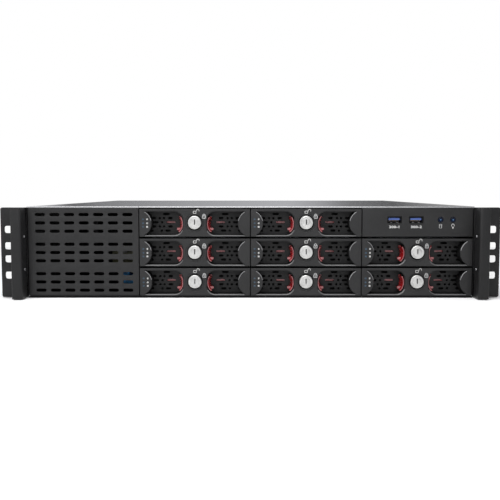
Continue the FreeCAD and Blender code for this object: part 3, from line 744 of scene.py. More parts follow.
def dress(piece: bpy.types.Object, finish: Finish, body: str = "") -> bpy.types.Object:
    """Give a piece its finish and its body.

    Args:
        piece: the piece.
        finish: what covers it.
        body: the CAD body that it rides on; a CAD node already rides on its own.

    Returns:
        The same piece.
    """
    if finish not in _materials:
        _materials[finish] = finish.value.material()
    piece.data.materials.clear()
    piece.data.materials.append(_materials[finish])
    if body:
        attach(piece, body)
    return piece


def fit(pieces: Sequence[bpy.types.Object], name: str, finish: Finish) -> bpy.types.Object:
    """Join pieces, dress them and let them ride on the chassis.

    Args:
        pieces: the pieces, at least one.
        name: the joined piece's name.
        finish: what covers it.

    Returns:
        The joined piece.
    """
    return dress(join(pieces, name), finish, CHASSIS)


def accent(piece: bpy.types.Object, finish: Finish, test: Test) -> None:
    """Give some of a dressed piece's faces a second finish.

    Args:
        piece: the piece.
        finish: the second finish.
        test: whether a face, by its middle in metres and its normal, gets it.
    """
    if finish not in _materials:
        _materials[finish] = finish.value.material()
    piece.data.materials.append(_materials[finish])
    for face in piece.data.polygons:
        if test(face.center, face.normal):
            face.material_index = len(piece.data.materials) - 1


# ---- the drive trays ---------------------------------------------------------------------------------
@dataclass
class TrayFront:
    """Moulded front of a drive tray, sizes in millimetres from the middle of its front face."""

    half_width: float = 53.525
    half_height: float = 13.45
    depth: float = 17.0
    recess_in: float = 11.6
    recess_top: float = 10.8
    recess_bottom: float = -11.9
    recess_depth: float = 15.0
    corner: float = 8.0
    bulge_x: float = 54.7
    bulge_z: float = -0.5
    bulge_radius: float = 13.0
    rim: float = 0.95
    chamfer: float = 0.55
    edge: float = 0.5
    lock_z: float = 0.35
    lock_hole: float = 7.5
    dish: float = 9.3
    grille_row: float = 4.1
    slot_height: float = 2.3

    def bulge(self, side: int) -> bpy.types.Object:
        """Rounded outer end that stands in a recess, with its front edge chamfered."""
        x, z, tip = side * self.bulge_x, self.bulge_z, -2 * self.chamfer
        body = rod("bulge", (x, tip, z), (x, self.recess_depth + 1, z), self.bulge_radius, 96)
        bevel(body, at(Y, tip), 3 * self.chamfer, 1)
        return body

    def recess(self, side: int) -> bpy.types.Object:
        """Solid that fills one finger recess.

        Args:
            side: 1 for the right recess, -1 for the left.

        Returns:
            The cutter.
        """
        far = self.bulge_x - 6.2
        low_x, high_x = sorted((side * self.recess_in, side * far))
        cutter = block("recess", (low_x, -1, self.recess_bottom), (high_x, self.recess_depth, self.recess_top))
        bevel(cutter, every(ALONG_Y, at(X, side * self.recess_in)), self.corner, 14)
        return combine(cutter, [self.bulge(side)], "DIFFERENCE")

    def rim_cutter(self, side: int) -> bpy.types.Object:
        """Tapered cutter that chamfers the mouth of one finger recess."""
        far, near, slope = side * 48.2, side * (self.recess_in - self.rim), self.rim + 0.1
        low_x, high_x = sorted((near, far))
        bottom, top = self.recess_bottom - self.rim, self.recess_top + self.rim
        cutter = block("rim", (low_x, -0.01, bottom), (high_x, slope, top))
        bevel(cutter, every(ALONG_Y, at(X, near)), self.corner + self.rim, 16)
        shrink = (1 - slope / (high_x - low_x), 1, 1 - 2 * slope / (top - bottom))
        with picked(cutter, BACK_FACES):
            bpy.ops.transform.resize(value=shrink, center_override=(far * MM, slope * MM, (bottom + top) / 2 * MM))
        return combine(cutter, [self.bulge(side)], "DIFFERENCE")

    def grille(self, side: int) -> bpy.types.Object:
        """Slots through the recess floor, joined into one cutter."""
        dash, dot, row = 4.6, 2.35, self.grille_row
        places = [(x, z, length) for z in (row, -row)
                  for x, length in ((25.0, dash), (31.3, dot), (35.4, dot), (41.4, dash))]
        places += [(24.4, 0.0, 8.9), (33.2, 0.0, dot), (39.8, 0.0, 6.2), (29.0, 2 * row, 6.6), (27.4, -2 * row, 5.2),
                   (33.5, -2 * row, dot), (43.6, -2 * row, 4.0)]
        middle = (self.recess_depth + self.depth) / 2
        return join([stadium("slot", (side * x, middle, z), length, self.slot_height, 6.0, 4)
                     for x, z, length in places], "grille")

    def pocket(self, side: int) -> bpy.types.Object:
        """Pocket in the middle bridge that the latch pad moves into."""
        low_x, high_x = sorted((side * 9.1, side * 14.2))
        return block("pocket", (low_x, 3.65, self.recess_bottom + 2.4), (high_x, 12.35, self.recess_top - 2.4))

    def catches_light(self, mid: Vector, normal: Vector) -> bool:
        """Whether a face gets a painted highlight: an up-facing bevel on a recess's lower rim or its bulge's upper
        edge.
        """
        near = mid.y < 1.5 * MM and abs(mid.z) < 12.9 * MM and -0.97 < normal.y < -0.2
        return near and abs(mid.x) > 12 * MM and normal.z > 0.15

    def build(self) -> bpy.types.Object:
        """Model the front.

        Returns:
            The front, its front face at Y = 0 and its middle at the origin.
        """
        front = plate("front", 0, 0, 2 * self.half_width, 2 * self.half_height, 0, self.depth)
        bevel(front, at(Y, 0), self.edge, 3)
        lock = (0, -1, self.lock_z)
        cutters = [rod("dish", (0, -0.01, self.lock_z), (0, 0.45, self.lock_z), self.dish, 64, self.dish - 0.6),
                   rod("ring", lock, (0, 5.0, self.lock_z), self.lock_hole, 64)]
        cutters += [cutter(side) for cutter in (self.recess, self.rim_cutter, self.pocket, self.grille)
                    for side in (1, -1)]
        return smooth(combine(front, cutters, "DIFFERENCE"))


@dataclass
class TrayRails:
    """Side rails, floor and cross bars behind a tray front."""

    rail_in: float = 50.95
    rail_out: float = 52.95
    floor_z: float = -13.9
    floor: float = 1.2
    height: float = 20.0
    front_y: float = 17.0
    back_y: float = 167.0
    window_pitch: float = 34.25
    slit_pitch: float = 44.0

    def build(self) -> bpy.types.Object:
        """Model rails and floor as one moulding with windows and stiffening lips."""
        top = self.floor_z + self.height
        body = block("rails", (-self.rail_out, self.front_y, self.floor_z), (self.rail_out, self.back_y, top))
        hollow = block("hollow", (-self.rail_in, self.front_y - 1, self.floor_z + self.floor),
                       (self.rail_in, self.back_y + 1, top + 1))
        windows = [self.front_y + 9.0 + index * self.window_pitch for index in range(4)]
        slits = [self.front_y + 18.0 + index * self.slit_pitch for index in range(3)]
        cutters = [hollow]
        cutters += [bevel(block("window", (-42, y, self.floor_z - 1), (42, y + 26.0, self.floor_z + 3)),
                          ALONG_Z, 3.0, 5) for y in windows]
        cutters.append(block("hook_window", (-60, self.front_y - 1, -1.9), (60, self.front_y + 3.0, 1.9)))
        cutters += [bevel(block("slit", (-60, y, top - 7.0), (60, y + 30.0, top - 4.0)), ALONG_X, 1.4, 4)
                    for y in slits]
        return smooth(soften(combine(body, cutters, "DIFFERENCE"), 0.3))


@dataclass
class Latch:
    """Right-hand pinch latch: curved pad that thickens to the back, with two feet, web, bar and hook."""

    turn_x: float = 21.6
    outer: float = 9.85
    inner: float = 9.2
    taper: float = 2.6
    high: float = -0.2
    low: float = -1.9
    front_y: float = 3.8
    back_y: float = 12.0
    bar_y: float = 17.3
    bar_end: float = 53.25
    red_end: float = 28.9
    sweep: float = 39.5
    foot_low: float = -7.3
    foot_height: float = 2.2
    foot_gap: float = 12.2
    top_foot_height: float = 1.4
    trim_low: float = 0.8
    trim_high: float = 0.9

    def pad(self) -> bpy.types.Object:
        """Curved finger pad: a bent plate cut from two rounded blocks."""
        reach = 20.0
        shell = block("pad", (self.turn_x - self.outer, self.front_y, self.low - self.outer),
                      (self.turn_x + reach, self.back_y, self.high + self.outer))
        bevel(shell, every(ALONG_Y, at(X, self.turn_x - self.outer)), self.outer, 14)
        core = block("core", (self.turn_x - self.inner, self.front_y - 1, self.low - self.inner),
                     (self.turn_x + reach + 1, self.back_y + 1, self.high + self.inner))
        bevel(core, every(ALONG_Y, at(X, self.turn_x - self.inner)), self.inner, 14)
        width, height = reach + 1 + self.inner, self.high - self.low + 2 * self.inner
        with picked(core, BACK_FACES):
            bpy.ops.transform.resize(value=(1 - self.taper / width, 1, 1 - 2 * self.taper / height),
                                     center_override=((self.turn_x + reach + 1) * MM, self.back_y * MM,
                                                      (self.high + self.low) / 2 * MM))
        limit = self.outer * math.sin(math.radians(self.sweep))
        keep = block("keep", (self.turn_x - self.outer - 1, self.front_y - 1, self.low - limit - self.trim_low),
                     (self.turn_x - self.inner * math.cos(math.radians(self.sweep)) + 1.6, self.back_y + 1,
                      self.high + limit - self.trim_high))
        return combine(combine(shell, [core], "DIFFERENCE"), [keep], "INTERSECT")

    def highlighted_edge(self, mid: Vector, normal: Vector) -> bool:
        """Whether a face gets the painted highlight: the front edge of the pad, its lower foot or the bar."""
        return normal.y < -0.85 and (mid.y < (self.front_y + 1) * MM or mid.z < 2 * MM)

    def hook(self) -> bpy.types.Object:
        """Dark steel end of the bar, tapered towards its tip."""
        hook = block("hook", (self.red_end, self.bar_y, -1.5), (self.bar_end, self.bar_y + 2.0, 1.5))
        with picked(hook, facing(X, 1)):
            bpy.ops.transform.resize(value=(1, 0.55, 0.7))
        return smooth(soften(hook, 0.3))

    def build(self) -> bpy.types.Object:
        """Model the pad with its feet, web and the near part of its bar.

        Returns:
            The right-hand latch in the front's own place.
        """
        face = self.turn_x - self.inner + self.taper * 0.55
        pad = self.pad()
        foot = block("foot", (face - 0.8, self.front_y + 3.2, self.foot_low),
                     (face + 3.9, self.back_y, self.foot_low + self.foot_height))
        top_low = self.foot_low + self.foot_gap
        top_foot = block("top_foot", (face - 0.4, self.front_y + 6.2, top_low),
                         (face + 2.2, self.back_y, top_low + self.top_foot_height))
        for piece in (foot, top_foot):
            bevel(piece, every(ALONG_Y, beyond(X, face)), 0.7, 4)
        web_x = self.turn_x - self.outer
        web = block("web", (web_x, self.back_y - 1.0, -1.45), (web_x + 2.0, self.bar_y + 1.0, 1.45))
        bar = block("bar", (web_x, self.bar_y, -0.9), (self.red_end, self.bar_y + 2.0, 0.9))
        return smooth(soften(combine(pad, [foot, top_foot, web, bar], "UNION"), 0.35, 3, 50), 50)


@dataclass
class Lock:
    """Round key lock: bevelled head with a keyway and a faint turned ring."""

    height: float = 0.35
    radius: float = 6.55
    proud: float = 2.0
    barrel: float = 5.0
    back_y: float = 18.8
    cam: float = 8.0

    def build(self) -> list[bpy.types.Object]:
        """Model the lock.

        Returns:
            The metal body and the dark block behind its opening, which paints the shade inside the keyway.
        """
        z = self.height
        head = rod("lock", (0, -self.proud, z), (0, 4.0, z), self.radius, 72)
        with picked(head, FRONT_FACES):
            bpy.ops.mesh.inset(thickness=1.6 * MM, depth=0)
            bpy.ops.mesh.inset(thickness=0.25 * MM, depth=-0.12 * MM)
            bpy.ops.mesh.inset(thickness=0.5 * MM, depth=0)
            bpy.ops.mesh.inset(thickness=0.25 * MM, depth=0.12 * MM)
        bevel(head, every(at(Y, -self.proud), lambda mid, way: abs(
            math.hypot(mid.x, mid.z - z * MM) - self.radius * MM) < 0.1 * MM), 0.9, 4)
        slit = block("slit", (-0.5, -self.proud - 1, z - 1.9), (0.5, 1.5, z + 2.8))
        dot = rod("dot", (0, -self.proud - 1, z + 2.6), (0, 1.5, z + 2.6), 0.6, 24)
        combine(head, [slit, dot], "DIFFERENCE")
        barrel = rod("barrel", (0, 3.5, z), (0, self.back_y, z), self.barrel, 40)
        cam = block("cam", (-2, self.back_y - 1.5, z - self.cam), (2, self.back_y, z))
        bevel(cam, every(ALONG_Y, beyond(Z, 0, -1)), 1.6, 5)
        # Dark block behind the slit: painted shade inside the keyway.
        keyway = block("keyway", (-1.2, 0.6, z - 2.8), (1.2, 1.4, z + 3.8))
        return [smooth(join([head, barrel, cam], "lock"), 40), soften(keyway, 0.1)]


class Mark(Enum):
    """Printed marks that belong beside a lock or a light."""

    OPEN = "open_lock"
    CLOSED = "closed_lock"
    DISK = "disk"
    LAMP = "lamp"


@dataclass
class Printer:
    """Draws the small printed marks as very thin raised ink."""

    ink: float = 0.06
    line: float = 0.6

    def bar(self, low: tuple[float, float], high: tuple[float, float]) -> bpy.types.Object:
        """Thin rectangle of ink between two corners in the XZ plane."""
        piece = block("ink", (low[0], -self.ink, low[1]), (high[0], 0.02, high[1]))
        return bevel(piece, ALONG_Y, min(high[0] - low[0], high[1] - low[1]) * 0.2, 2)

    def band(self, centre: tuple[float, float], radius: float, start: float, end: float,
             squash: float = 1.0) -> bpy.types.Object:
        """Curved band of ink: a swept edge given width and thickness.

        Args:
            centre: centre of the arc.
            radius: its middle radius.
            start: first angle in degrees, from +X towards +Z.
            end: last angle in degrees.
            squash: height of the arc over its width.

        Returns:
            The band.
        """
        inner, outer = radius - self.line / 2, radius + self.line / 2
        deselect_all()
        bpy.ops.mesh.primitive_circle_add(vertices=36, radius=inner * MM, fill_type="NOTHING",
                                          rotation=(math.radians(90), 0, 0))
        piece = bpy.context.active_object
        apply_place(piece)
        with editing(piece) as mesh:
            bpy.ops.mesh.select_mode(type="VERT")
            for vertex in mesh.verts:
                angle = math.degrees(math.atan2(vertex.co.z, vertex.co.x))
                vertex.select = not any(start - 1 <= angle + turn <= end + 1 for turn in (-360, 0, 360))
            bmesh.update_edit_mesh(piece.data)
            bpy.ops.mesh.delete(type="VERT")
            bpy.ops.mesh.select_all(action="SELECT")
            bpy.ops.mesh.extrude_edges_move()
            bpy.ops.transform.resize(value=(outer / inner, 1, outer / inner), center_override=(0, 0, 0))
        piece.data.transform(Matrix.Diagonal((1, 1, squash, 1)))
        depth = self.ink * 0.8 * MM
        piece.data.transform(Matrix.Translation((centre[0] * MM, -depth / 2, centre[1] * MM)))
        run_modifier(piece, "SOLIDIFY", thickness=depth, offset=0)
        clean(piece)
        return piece

    def box_outline(self, half: float, low: float, high: float) -> list[bpy.types.Object]:
        """Frame of ink round a rectangle that is centred on X."""
        line = self.line
        frame = self.bar((-half, low), (half, high))
        window = block("window", (-half + line, -1, low + line), (half - line, 1, high - line))
        return [combine(frame, [window], "DIFFERENCE")]

    def mark(self, kind: Mark, x: float, y: float, z: float) -> bpy.types.Object:
        """One printed mark.

        Args:
            kind: which mark.
            x: place of its middle, in millimetres.
            y: the printed face.
            z: height of its middle.

        Returns:
            The mark as one mesh.
        """
        if kind is Mark.OPEN:
            parts = self.box_outline(1.6, -1.4, 1.35) + [
                self.band((3.1, 1.6), 1.2, 0, 180), self.bar((1.6, 0.9), (2.2, 1.7)),
                self.bar((4.0, 0.8), (4.6, 1.7))]
        elif kind is Mark.CLOSED:
            parts = self.box_outline(1.8, -2.0, 1.2) + [
                self.band((0, 1.2), 1.15, 0, 180), self.bar((-0.45, -0.8), (0.45, 0.1))]
        elif kind is Mark.DISK:
            parts = [self.bar((-1.4, -1.6), (-0.9, 1.4)), self.bar((0.9, -1.6), (1.4, 1.4)),
                     self.band((0, 1.4), 1.15, 0, 360, 0.42), self.band((0, -1.5), 1.15, 180, 360, 0.42)]
        else:
            parts = [self.band((0, 0.7), 1.3, -50, 230), self.bar((-0.75, -1.9), (0.75, -0.7)),
                     self.bar((-0.5, -2.4), (0.5, -1.9))]
        piece = join(parts, kind.value)
        piece.data.transform(Matrix.Translation(Vector((x, y, z)) * MM))
        return piece


@dataclass
class DriveDetail:
    """What a bare 3.5 inch drive carries besides its casting."""

    front_y: float = 22.0
    back_y: float = 169.0
    floor_z: float = -12.7
    height: float = 26.1
    half_width: float = 50.8

    def lid(self) -> bpy.types.Object:
        """Pressed lid with a shallow sunken field."""
        top = self.floor_z + self.height
        lid = block("lid", (-self.half_width + 2.5, self.front_y + 2.5, top - 0.02),
                    (self.half_width - 2.5, self.back_y - 14.0, top + 0.12))
        bevel(lid, ALONG_Z, 6.0, 8)
        with picked(lid, facing(Z, 1)):
            bpy.ops.mesh.inset(thickness=4.0 * MM, depth=0)
            bpy.ops.mesh.inset(thickness=0.8 * MM, depth=-0.08 * MM)
        return smooth(lid)

    def label(self) -> bpy.types.Object:
        """Plain foil label on the lid."""
        top = self.floor_z + self.height
        label = block("label", (-36, self.front_y + 24, top + 0.02), (30, self.front_y + 108, top + 0.1))
        return bevel(label, ALONG_Z, 2.0, 4)

    def screws(self) -> bpy.types.Object:
        """Lid screws with star sockets."""
        top = self.floor_z + self.height
        heads = []
        for x in (-45.5, 45.5):
            for y in (28.0, 88.0, 148.0):
                head = rod("head", (x, y, top), (x, y, top + 0.24), 2.1, 20, 1.8)
                star = rod("star", (x, y, top + 0.05), (x, y, top + 1.2), 0.9, 6)
                heads.append(combine(head, [star], "DIFFERENCE"))
        return join(heads, "lid_screws")

    def shade_pad(self) -> bpy.types.Object:
        """Black pad on the drive's front end: a dark sheet that paints the shade seen through the grille slots."""
        pad = block("shade_pad", (-self.half_width + 0.4, self.front_y - 0.8, self.floor_z + 0.3),
                    (self.half_width - 0.4, self.front_y, self.floor_z + self.height - 0.4))
        return soften(pad, 0.3)


@dataclass
class DriveTray:
    """The eight trays: each is modelled once and copied to the places that the frame gives."""

    count: int = 8
    status_x: float = -49.8
    mark_x: float = -45.9
    status_z: tuple[float, float, float] = (3.5, -0.35, -3.8)

    def status_lights(self) -> bpy.types.Object:
        """Three small windows at the left of a front."""
        lights = [bevel(plate("lens", self.status_x, z, 1.8, 1.5, -0.12, 0.5), ALONG_Y, 0.35, 3)
                  for z in self.status_z]
        return soften(join(lights, "status_lights"), 0.08)

    def status_marks(self, printer: Printer) -> bpy.types.Object:
        """Marks beside the windows: a bar, a ring and a square."""
        x, (top, middle, low) = self.mark_x, self.status_z
        marks = [printer.bar((x - 0.65, top - 0.8), (x + 0.65, top + 0.8)), printer.band((x, middle), 0.55, 0, 360),
                 printer.bar((x - 0.85, low - 0.85), (x + 0.85, low + 0.85))]
        return join(marks, "status_marks")

    def build(self) -> None:
        """Model one tray and copy it to all eight places."""
        front, rails, latch, hook = TrayFront().build(), TrayRails().build(), Latch().build(), Latch().hook()
        lock, keyway = Lock().build()
        printer = Printer()
        opened = printer.mark(Mark.OPEN, 0.0, 0.0, 10.3)
        closed = printer.mark(Mark.CLOSED, 9.1, 0.0, 6.1)
        marks = self.status_marks(printer)
        detail = DriveDetail()
        masters = {"front": front, "rails": rails, "keyway": keyway, "lock": lock, "latch": latch, "hook": hook,
                   "shade_pad": detail.shade_pad(), "open_mark": opened, "closed_mark": closed, "status_marks": marks,
                   "status_lights": self.status_lights(), "lid": detail.lid(), "label": detail.label(),
                   "lid_screws": detail.screws()}
        for number in range(1, self.count + 1):
            self.place(number, masters)
        discard(*masters.values())

    def place(self, number: int, masters: dict[str, bpy.types.Object]) -> None:
        """Copy the pieces to one tray and let them ride on its bodies.

        Args:
            number: the tray's number.
            masters: the modelled pieces by name.
        """
        low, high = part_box(f"tray_{number}")
        middle_z = high.z - TrayFront.half_height * MM
        place = Vector(((low.x + high.x) / 2, low.y, middle_z))
        tray, lock_body = f"tray_{number}", f"lock_{number}"
        # The rails and the pad on the drive front take the painted-shade black.
        wanted = [("front", Finish.FRONT, "tray_plastic", tray), ("rails", Finish.INNER, "tray_plastic", tray),
                  ("open_mark", Finish.PRINT, "", tray), ("closed_mark", Finish.PRINT_DIM, "", tray),
                  ("status_marks", Finish.PRINT, "", tray), ("status_lights", Finish.STATUS, "", tray),
                  ("lid", Finish.DRIVE_LID, "drive_casting", tray), ("label", Finish.FOIL, "", tray),
                  ("lid_screws", Finish.SCREW, "screw_steel", tray), ("shade_pad", Finish.INNER, "", tray),
                  ("lock", Finish.LOCK, "lock_plating", lock_body), ("keyway", Finish.KEYWAY, "", lock_body)]
        made = {name: dress(copy_of(masters[name], f"{name}_{number}", place), finish, body)
                for name, finish, slot, body in wanted}
        for side, mirror in (("right", False), ("left", True)):
            node = f"latch_{side}_{number}"
            latch = dress(copy_of(masters["latch"], f"latch_{side}_piece_{number}", place, mirror), Finish.LATCH,
                          node)
            # Painted highlight on the latch's front-facing edges.
            accent(latch, Finish.LATCH_EDGE, lambda mid, normal: Latch().highlighted_edge(mid - place, normal))
            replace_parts(latch, node)
            dress(copy_of(masters["hook"], f"latch_{side}_hook_{number}", place, mirror), Finish.HOOK, node)
        # Painted shade: the recess interior faces of the front get the darker copy of the tray plastic.
        accent(made["front"], Finish.INNER, lambda mid, normal: mid.y - place.y > 2.2 * MM and normal.y > -0.9)
        # Painted highlights: up-facing bevels get the lighter rim copy, and those above the middle get the still
        # lighter arc copy.
        accent(made["front"], Finish.RIM, lambda mid, normal: TrayFront().catches_light(mid - place, normal))
        accent(made["front"], Finish.ARC, lambda mid, normal: TrayFront().catches_light(mid - place, normal)
               and mid.z - place.z > 1.5 * MM)
        made["lock"].name = f"lock_piece_{number}"
        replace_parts(made["front"], f"tray_{number}")
        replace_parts(made["lock"], f"lock_{number}")
        dress(frame["nodes"][f"drive_{number}"], Finish.DRIVE)
        LOG.info("tray %d placed", number)


# ---- panels, ears and covers ---------------------------------------------------------------------------
def from_box(node: str) -> tuple[Vector, Vector]:
    """Corners of a CAD node in millimetres."""
    low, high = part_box(node)
    return low / MM, high / MM


def hollow_panel(name: str, node: str, wall: float) -> bpy.types.Object:
    """Panel as big as a CAD node, rounded in front and open behind.

    Args:
        name: the panel's name.
        node: the node whose place it takes.
        wall: thickness of its walls in millimetres.

    Returns:
        The panel.
    """
    low, high = from_box(node)
    panel = bevel(block(name, low, high), at(Y, low.y), 0.6, 3)
    hollow = block("hollow", (low.x + wall, low.y + wall, low.z + wall), (high.x - wall, high.y + 1, high.z - wall))
    return combine(panel, [hollow], "DIFFERENCE")


@dataclass
class VentPanel:
    """Slotted panel in the left column with returns running back."""

    columns: int = 7
    pitch: float = 14.07
    slot_length: float = 9.9
    slot_height: float = 3.2
    row_pitch: float = 8.05
    bay_pitch: float = 28.7
    shift: float = 0.65
    wall: float = 2.0
    margin: float = 3.0

    def build(self) -> None:
        """Model and dress the panel."""
        low, high = from_box("vent_panel")
        panel = hollow_panel("vent_front", "vent_panel", self.wall)
        middle_x = (low.x + high.x) / 2 + self.shift
        first_row = low.z + TrayFront.half_height
        master = stadium("slot", (0, 0, 0), self.slot_length, self.slot_height, 8.0, 6)
        slots = []
        for bay in range(3):
            for level in (-1, 0, 1):
                z = first_row + bay * self.bay_pitch + level * self.row_pitch
                for index in range(self.columns):
                    x = middle_x + (index - (self.columns - 1) / 2) * self.pitch
                    slots.append(copy_of(master, "slot", Vector((x, low.y, z)) * MM))
        discard(master)
        combine(panel, [join(slots, "slots")], "DIFFERENCE")
        on_slot = every(at(Y, low.y), beyond(X, low.x + self.margin), beyond(X, high.x - self.margin, -1),
                        beyond(Z, low.z + self.wall), beyond(Z, high.z - self.wall, -1))
        bevel(panel, on_slot, 0.25, 2)
        smooth(panel)
        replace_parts(dress(panel, Finish.PANEL, CHASSIS), "vent_panel")
        LOG.info("vent panel built")


@dataclass
class ServiceCorner:
    """What shows faintly behind the vent slots: a small board and a blue plug."""

    def build(self) -> None:
        """Model and dress the pieces."""
        low, _ = from_box("vent_panel")
        side = from_box("drive_cage")[0].x
        board = block("service_board", (side - 30, low.y + 25, 30), (side - 1.0, low.y + 26.2, 49))
        bevel(board, ALONG_Y, 1.0, 3)
        dress(board, Finish.OLIVE, CHASSIS)
        chips = [block("chip", (side - x - 4, low.y + 24, z), (side - x, low.y + 25, z + 2.5))
                 for x, z in ((8, 45.0), (15, 42), (10, 34.5), (20, 39))]
        fit([soften(chip, 0.2) for chip in chips], "service_chips", Finish.CHIP_GREY)
        plug = block("service_plug", (side - 20, low.y + 21, 11), (side - 6, low.y + 36, 18.8))
        boot = block("service_boot", (side - 20, low.y + 21, 18), (side - 12.5, low.y + 36, 25.5))
        soften(combine(plug, [boot], "UNION"), 0.8, 3)
        cable = block("service_cable", (side - 17, low.y + 36, 12), (side - 9, low.y + 120, 18))
        fit([plug, soften(cable, 0.5)], "service_plug", Finish.PLUG)
        foot = block("service_bracket", (side - 12, low.y + 24, low.z - 0.7), (side - 2, low.y + 34, 11))
        # The bracket takes the painted-shade black.
        dress(soften(foot, 0.4), Finish.INNER, CHASSIS)
        LOG.info("service corner built")


@dataclass
class ControlPanel:
    """Panel with two front sockets, two round lenses and their printed marks."""

    wall: float = 2.0
    usb_spacing: float = 21.0
    usb_offset: float = -12.0
    usb_width: float = 14.0
    usb_height: float = 7.0
    usb_depth: float = 14.0
    lens_offset: float = 27.9
    lens_spacing: float = 12.0
    lens_radius: float = 2.35
    lift: float = 3.0

    def places(self) -> tuple[float, list[float], list[float], float]:
        """Front plane, socket and lens places and their height, in millimetres."""
        low, high = from_box("control_panel")
        middle = (low.x + high.x) / 2
        usb = [middle + self.usb_offset + side * self.usb_spacing / 2 for side in (-1, 1)]
        lens = [middle + self.lens_offset + side * self.lens_spacing / 2 for side in (-1, 1)]
        return low.y, usb, lens, low.z + TrayFront.half_height + self.lift

    def panel(self) -> None:
        """The moulded panel with its windows."""
        front, usb, lens, z = self.places()
        panel = hollow_panel("control_front", "control_panel", self.wall)
        cutters = [bevel(plate("window", x, z, self.usb_width, self.usb_height, front - 1, front + 3), ALONG_Y, 0.6, 3)
                   for x in usb]
        for x in lens:
            cutters.append(rod("hole", (x, front - 1, z), (x, front + 3, z), self.lens_radius + 0.12, 48))
            cutters.append(rod("seat", (x, front - 0.01, z), (x, front + 0.45, z), self.lens_radius + 0.6, 48,
                               self.lens_radius + 0.12))
        combine(panel, cutters, "DIFFERENCE")
        smooth(panel)
        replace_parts(dress(panel, Finish.PANEL, CHASSIS), "control_panel")

    @staticmethod
    def surround(x: float, front: float, z: float) -> bpy.types.Object:
        """Thin black frame with flared corners around a socket's mouth; it paints the shade inside the mouth round the
        tongue.

        Args:
            x: middle of the socket.
            front: front plane of the panel.
            z: height of the socket.

        Returns:
            The frame.
        """
        frame = block("frame", (x - 6.75, front + 0.9, z - 3.1), (x + 6.75, front + 2.0, z + 3.0))
        for side in (-1, 1):
            for low, high in ((z + 2.2, z + 3.3), (z - 3.3, z - 2.4)):
                ear = block("ear", (x + side * 6.9 - 0.7, front + 0.9, low), (x + side * 6.9 + 0.7, front + 2.0, high))
                combine(frame, [ear], "UNION")
        mouth = block("mouth", (x - 5.9, front - 1, z - 2.75), (x + 5.9, front + 3, z + 2.1))
        return soften(combine(frame, [mouth], "DIFFERENCE"), 0.12)

    def sockets(self) -> None:
        """Metal shells with tongues, contacts and springs, on a small board."""
        front, usb, _, z = self.places()
        shells, tongues, contacts, springs, frames = [], [], [], [], []
        half_x, half_z, wall = self.usb_width / 2 - 0.15, self.usb_height / 2 - 0.15, 0.55
        for x in usb:
            shell = plate("shell", x, z, 2 * half_x, 2 * half_z, front + 1.4, front + self.usb_depth)
            mouth = plate("mouth", x, z, 2 * (half_x - wall), 2 * (half_z - wall), front - 1,
                          front + self.usb_depth - 1)
            shells.append(soften(combine(shell, [mouth], "DIFFERENCE"), 0.18))
            tongue = plate("tongue", x, z + 0.725, 10.9, 2.15, front + 2.4, front + self.usb_depth - 1)
            tongues.append(soften(tongue, 0.25))
            contacts += [soften(plate("pad", x - 3.75 + index * 2.5, z - 0.65, 1.2, 0.2, front + 2.6, front + 9), 0.05)
                         for index in range(4)]
            for cx in (x - 2.9, x + 2.9):
                spring = block("spring", (cx - 1.0, front + 1.5, z - half_z + wall - 0.05),
                               (cx + 1.0, front + 7.5, z - half_z + wall + 0.75))
                with picked(spring, FRONT_FACES):
                    bpy.ops.transform.translate(value=(0, 0, -0.55 * MM))
                springs.append(soften(spring, 0.1))
            frames.append(self.surround(x, front, z))
        shell = join(shells, "front_socket_shells")
        smooth(shell)
        # Frames and dark shells paint the shade inside the socket mouths; the springs keep the bright plating.
        fit(frames, "front_socket_frames", Finish.SOCKET)
        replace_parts(dress(shell, Finish.SHELL_DARK, CHASSIS), "front_usb_board")
        fit(tongues, "front_socket_tongues", Finish.TONGUE)
        fit(contacts, "front_socket_contacts", Finish.GOLD)
        fit(springs, "front_socket_springs", Finish.SHELL)
        low, high = from_box("front_usb_board")
        board = block("front_board", (low.x, high.y - 1.6, low.z), high)
        bevel(board, ALONG_Y, 1.0, 3)
        dress(board, Finish.BOARD, CHASSIS)

    def lenses(self) -> None:
        """Round lenses with a small core behind a domed face; the core's faint glow paints the highlight at the lens
        centre.
        """
        front, _, lens, z = self.places()
        bodies, cores = [], []
        for x in lens:
            body = rod("lens", (x, front - 0.25, z), (x, front + 13.9, z), self.lens_radius, 48)
            with picked(body, FRONT_FACES):
                bpy.ops.mesh.inset(thickness=0.45 * MM, depth=0.25 * MM)
                bpy.ops.mesh.inset(thickness=0.5 * MM, depth=-0.2 * MM)
            collar = rod("collar", (x, front + 2.0, z), (x, front + 4.0, z), self.lens_radius + 1.0, 36)
            bodies += [body, soften(collar, 0.2)]
            cores.append(soften(rod("core", (x, front - 0.33, z), (x, front + 0.2, z), 0.6, 20), 0.12))
        piece = join(bodies, "front_lenses")
        smooth(piece, 50)
        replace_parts(dress(piece, Finish.LENS, CHASSIS), "indicator_lights")
        # The glowing cores paint the lens highlights.
        fit(cores, "front_lens_cores", Finish.CORE)

    def number(self, digits: str, x: float, y: float, z: float) -> bpy.types.Object:
        """Printed number, its middle at a place on the face."""
        deselect_all()
        bpy.ops.object.text_add(location=(x * MM, (y - 0.03) * MM, z * MM), rotation=(math.radians(90), 0, 0))
        text = bpy.context.active_object
        text.data.body = digits
        text.data.align_x = "CENTER"
        text.data.align_y = "CENTER"
        text.data.size = 3.2 * MM
        text.data.space_character = 1.12
        text.data.offset = 0.09 * MM
        text.scale.x = 1.3
        text.data.extrude = 0.03 * MM
        bpy.ops.object.convert(target="MESH")
        text = bpy.context.active_object
        apply_place(text)
        return text

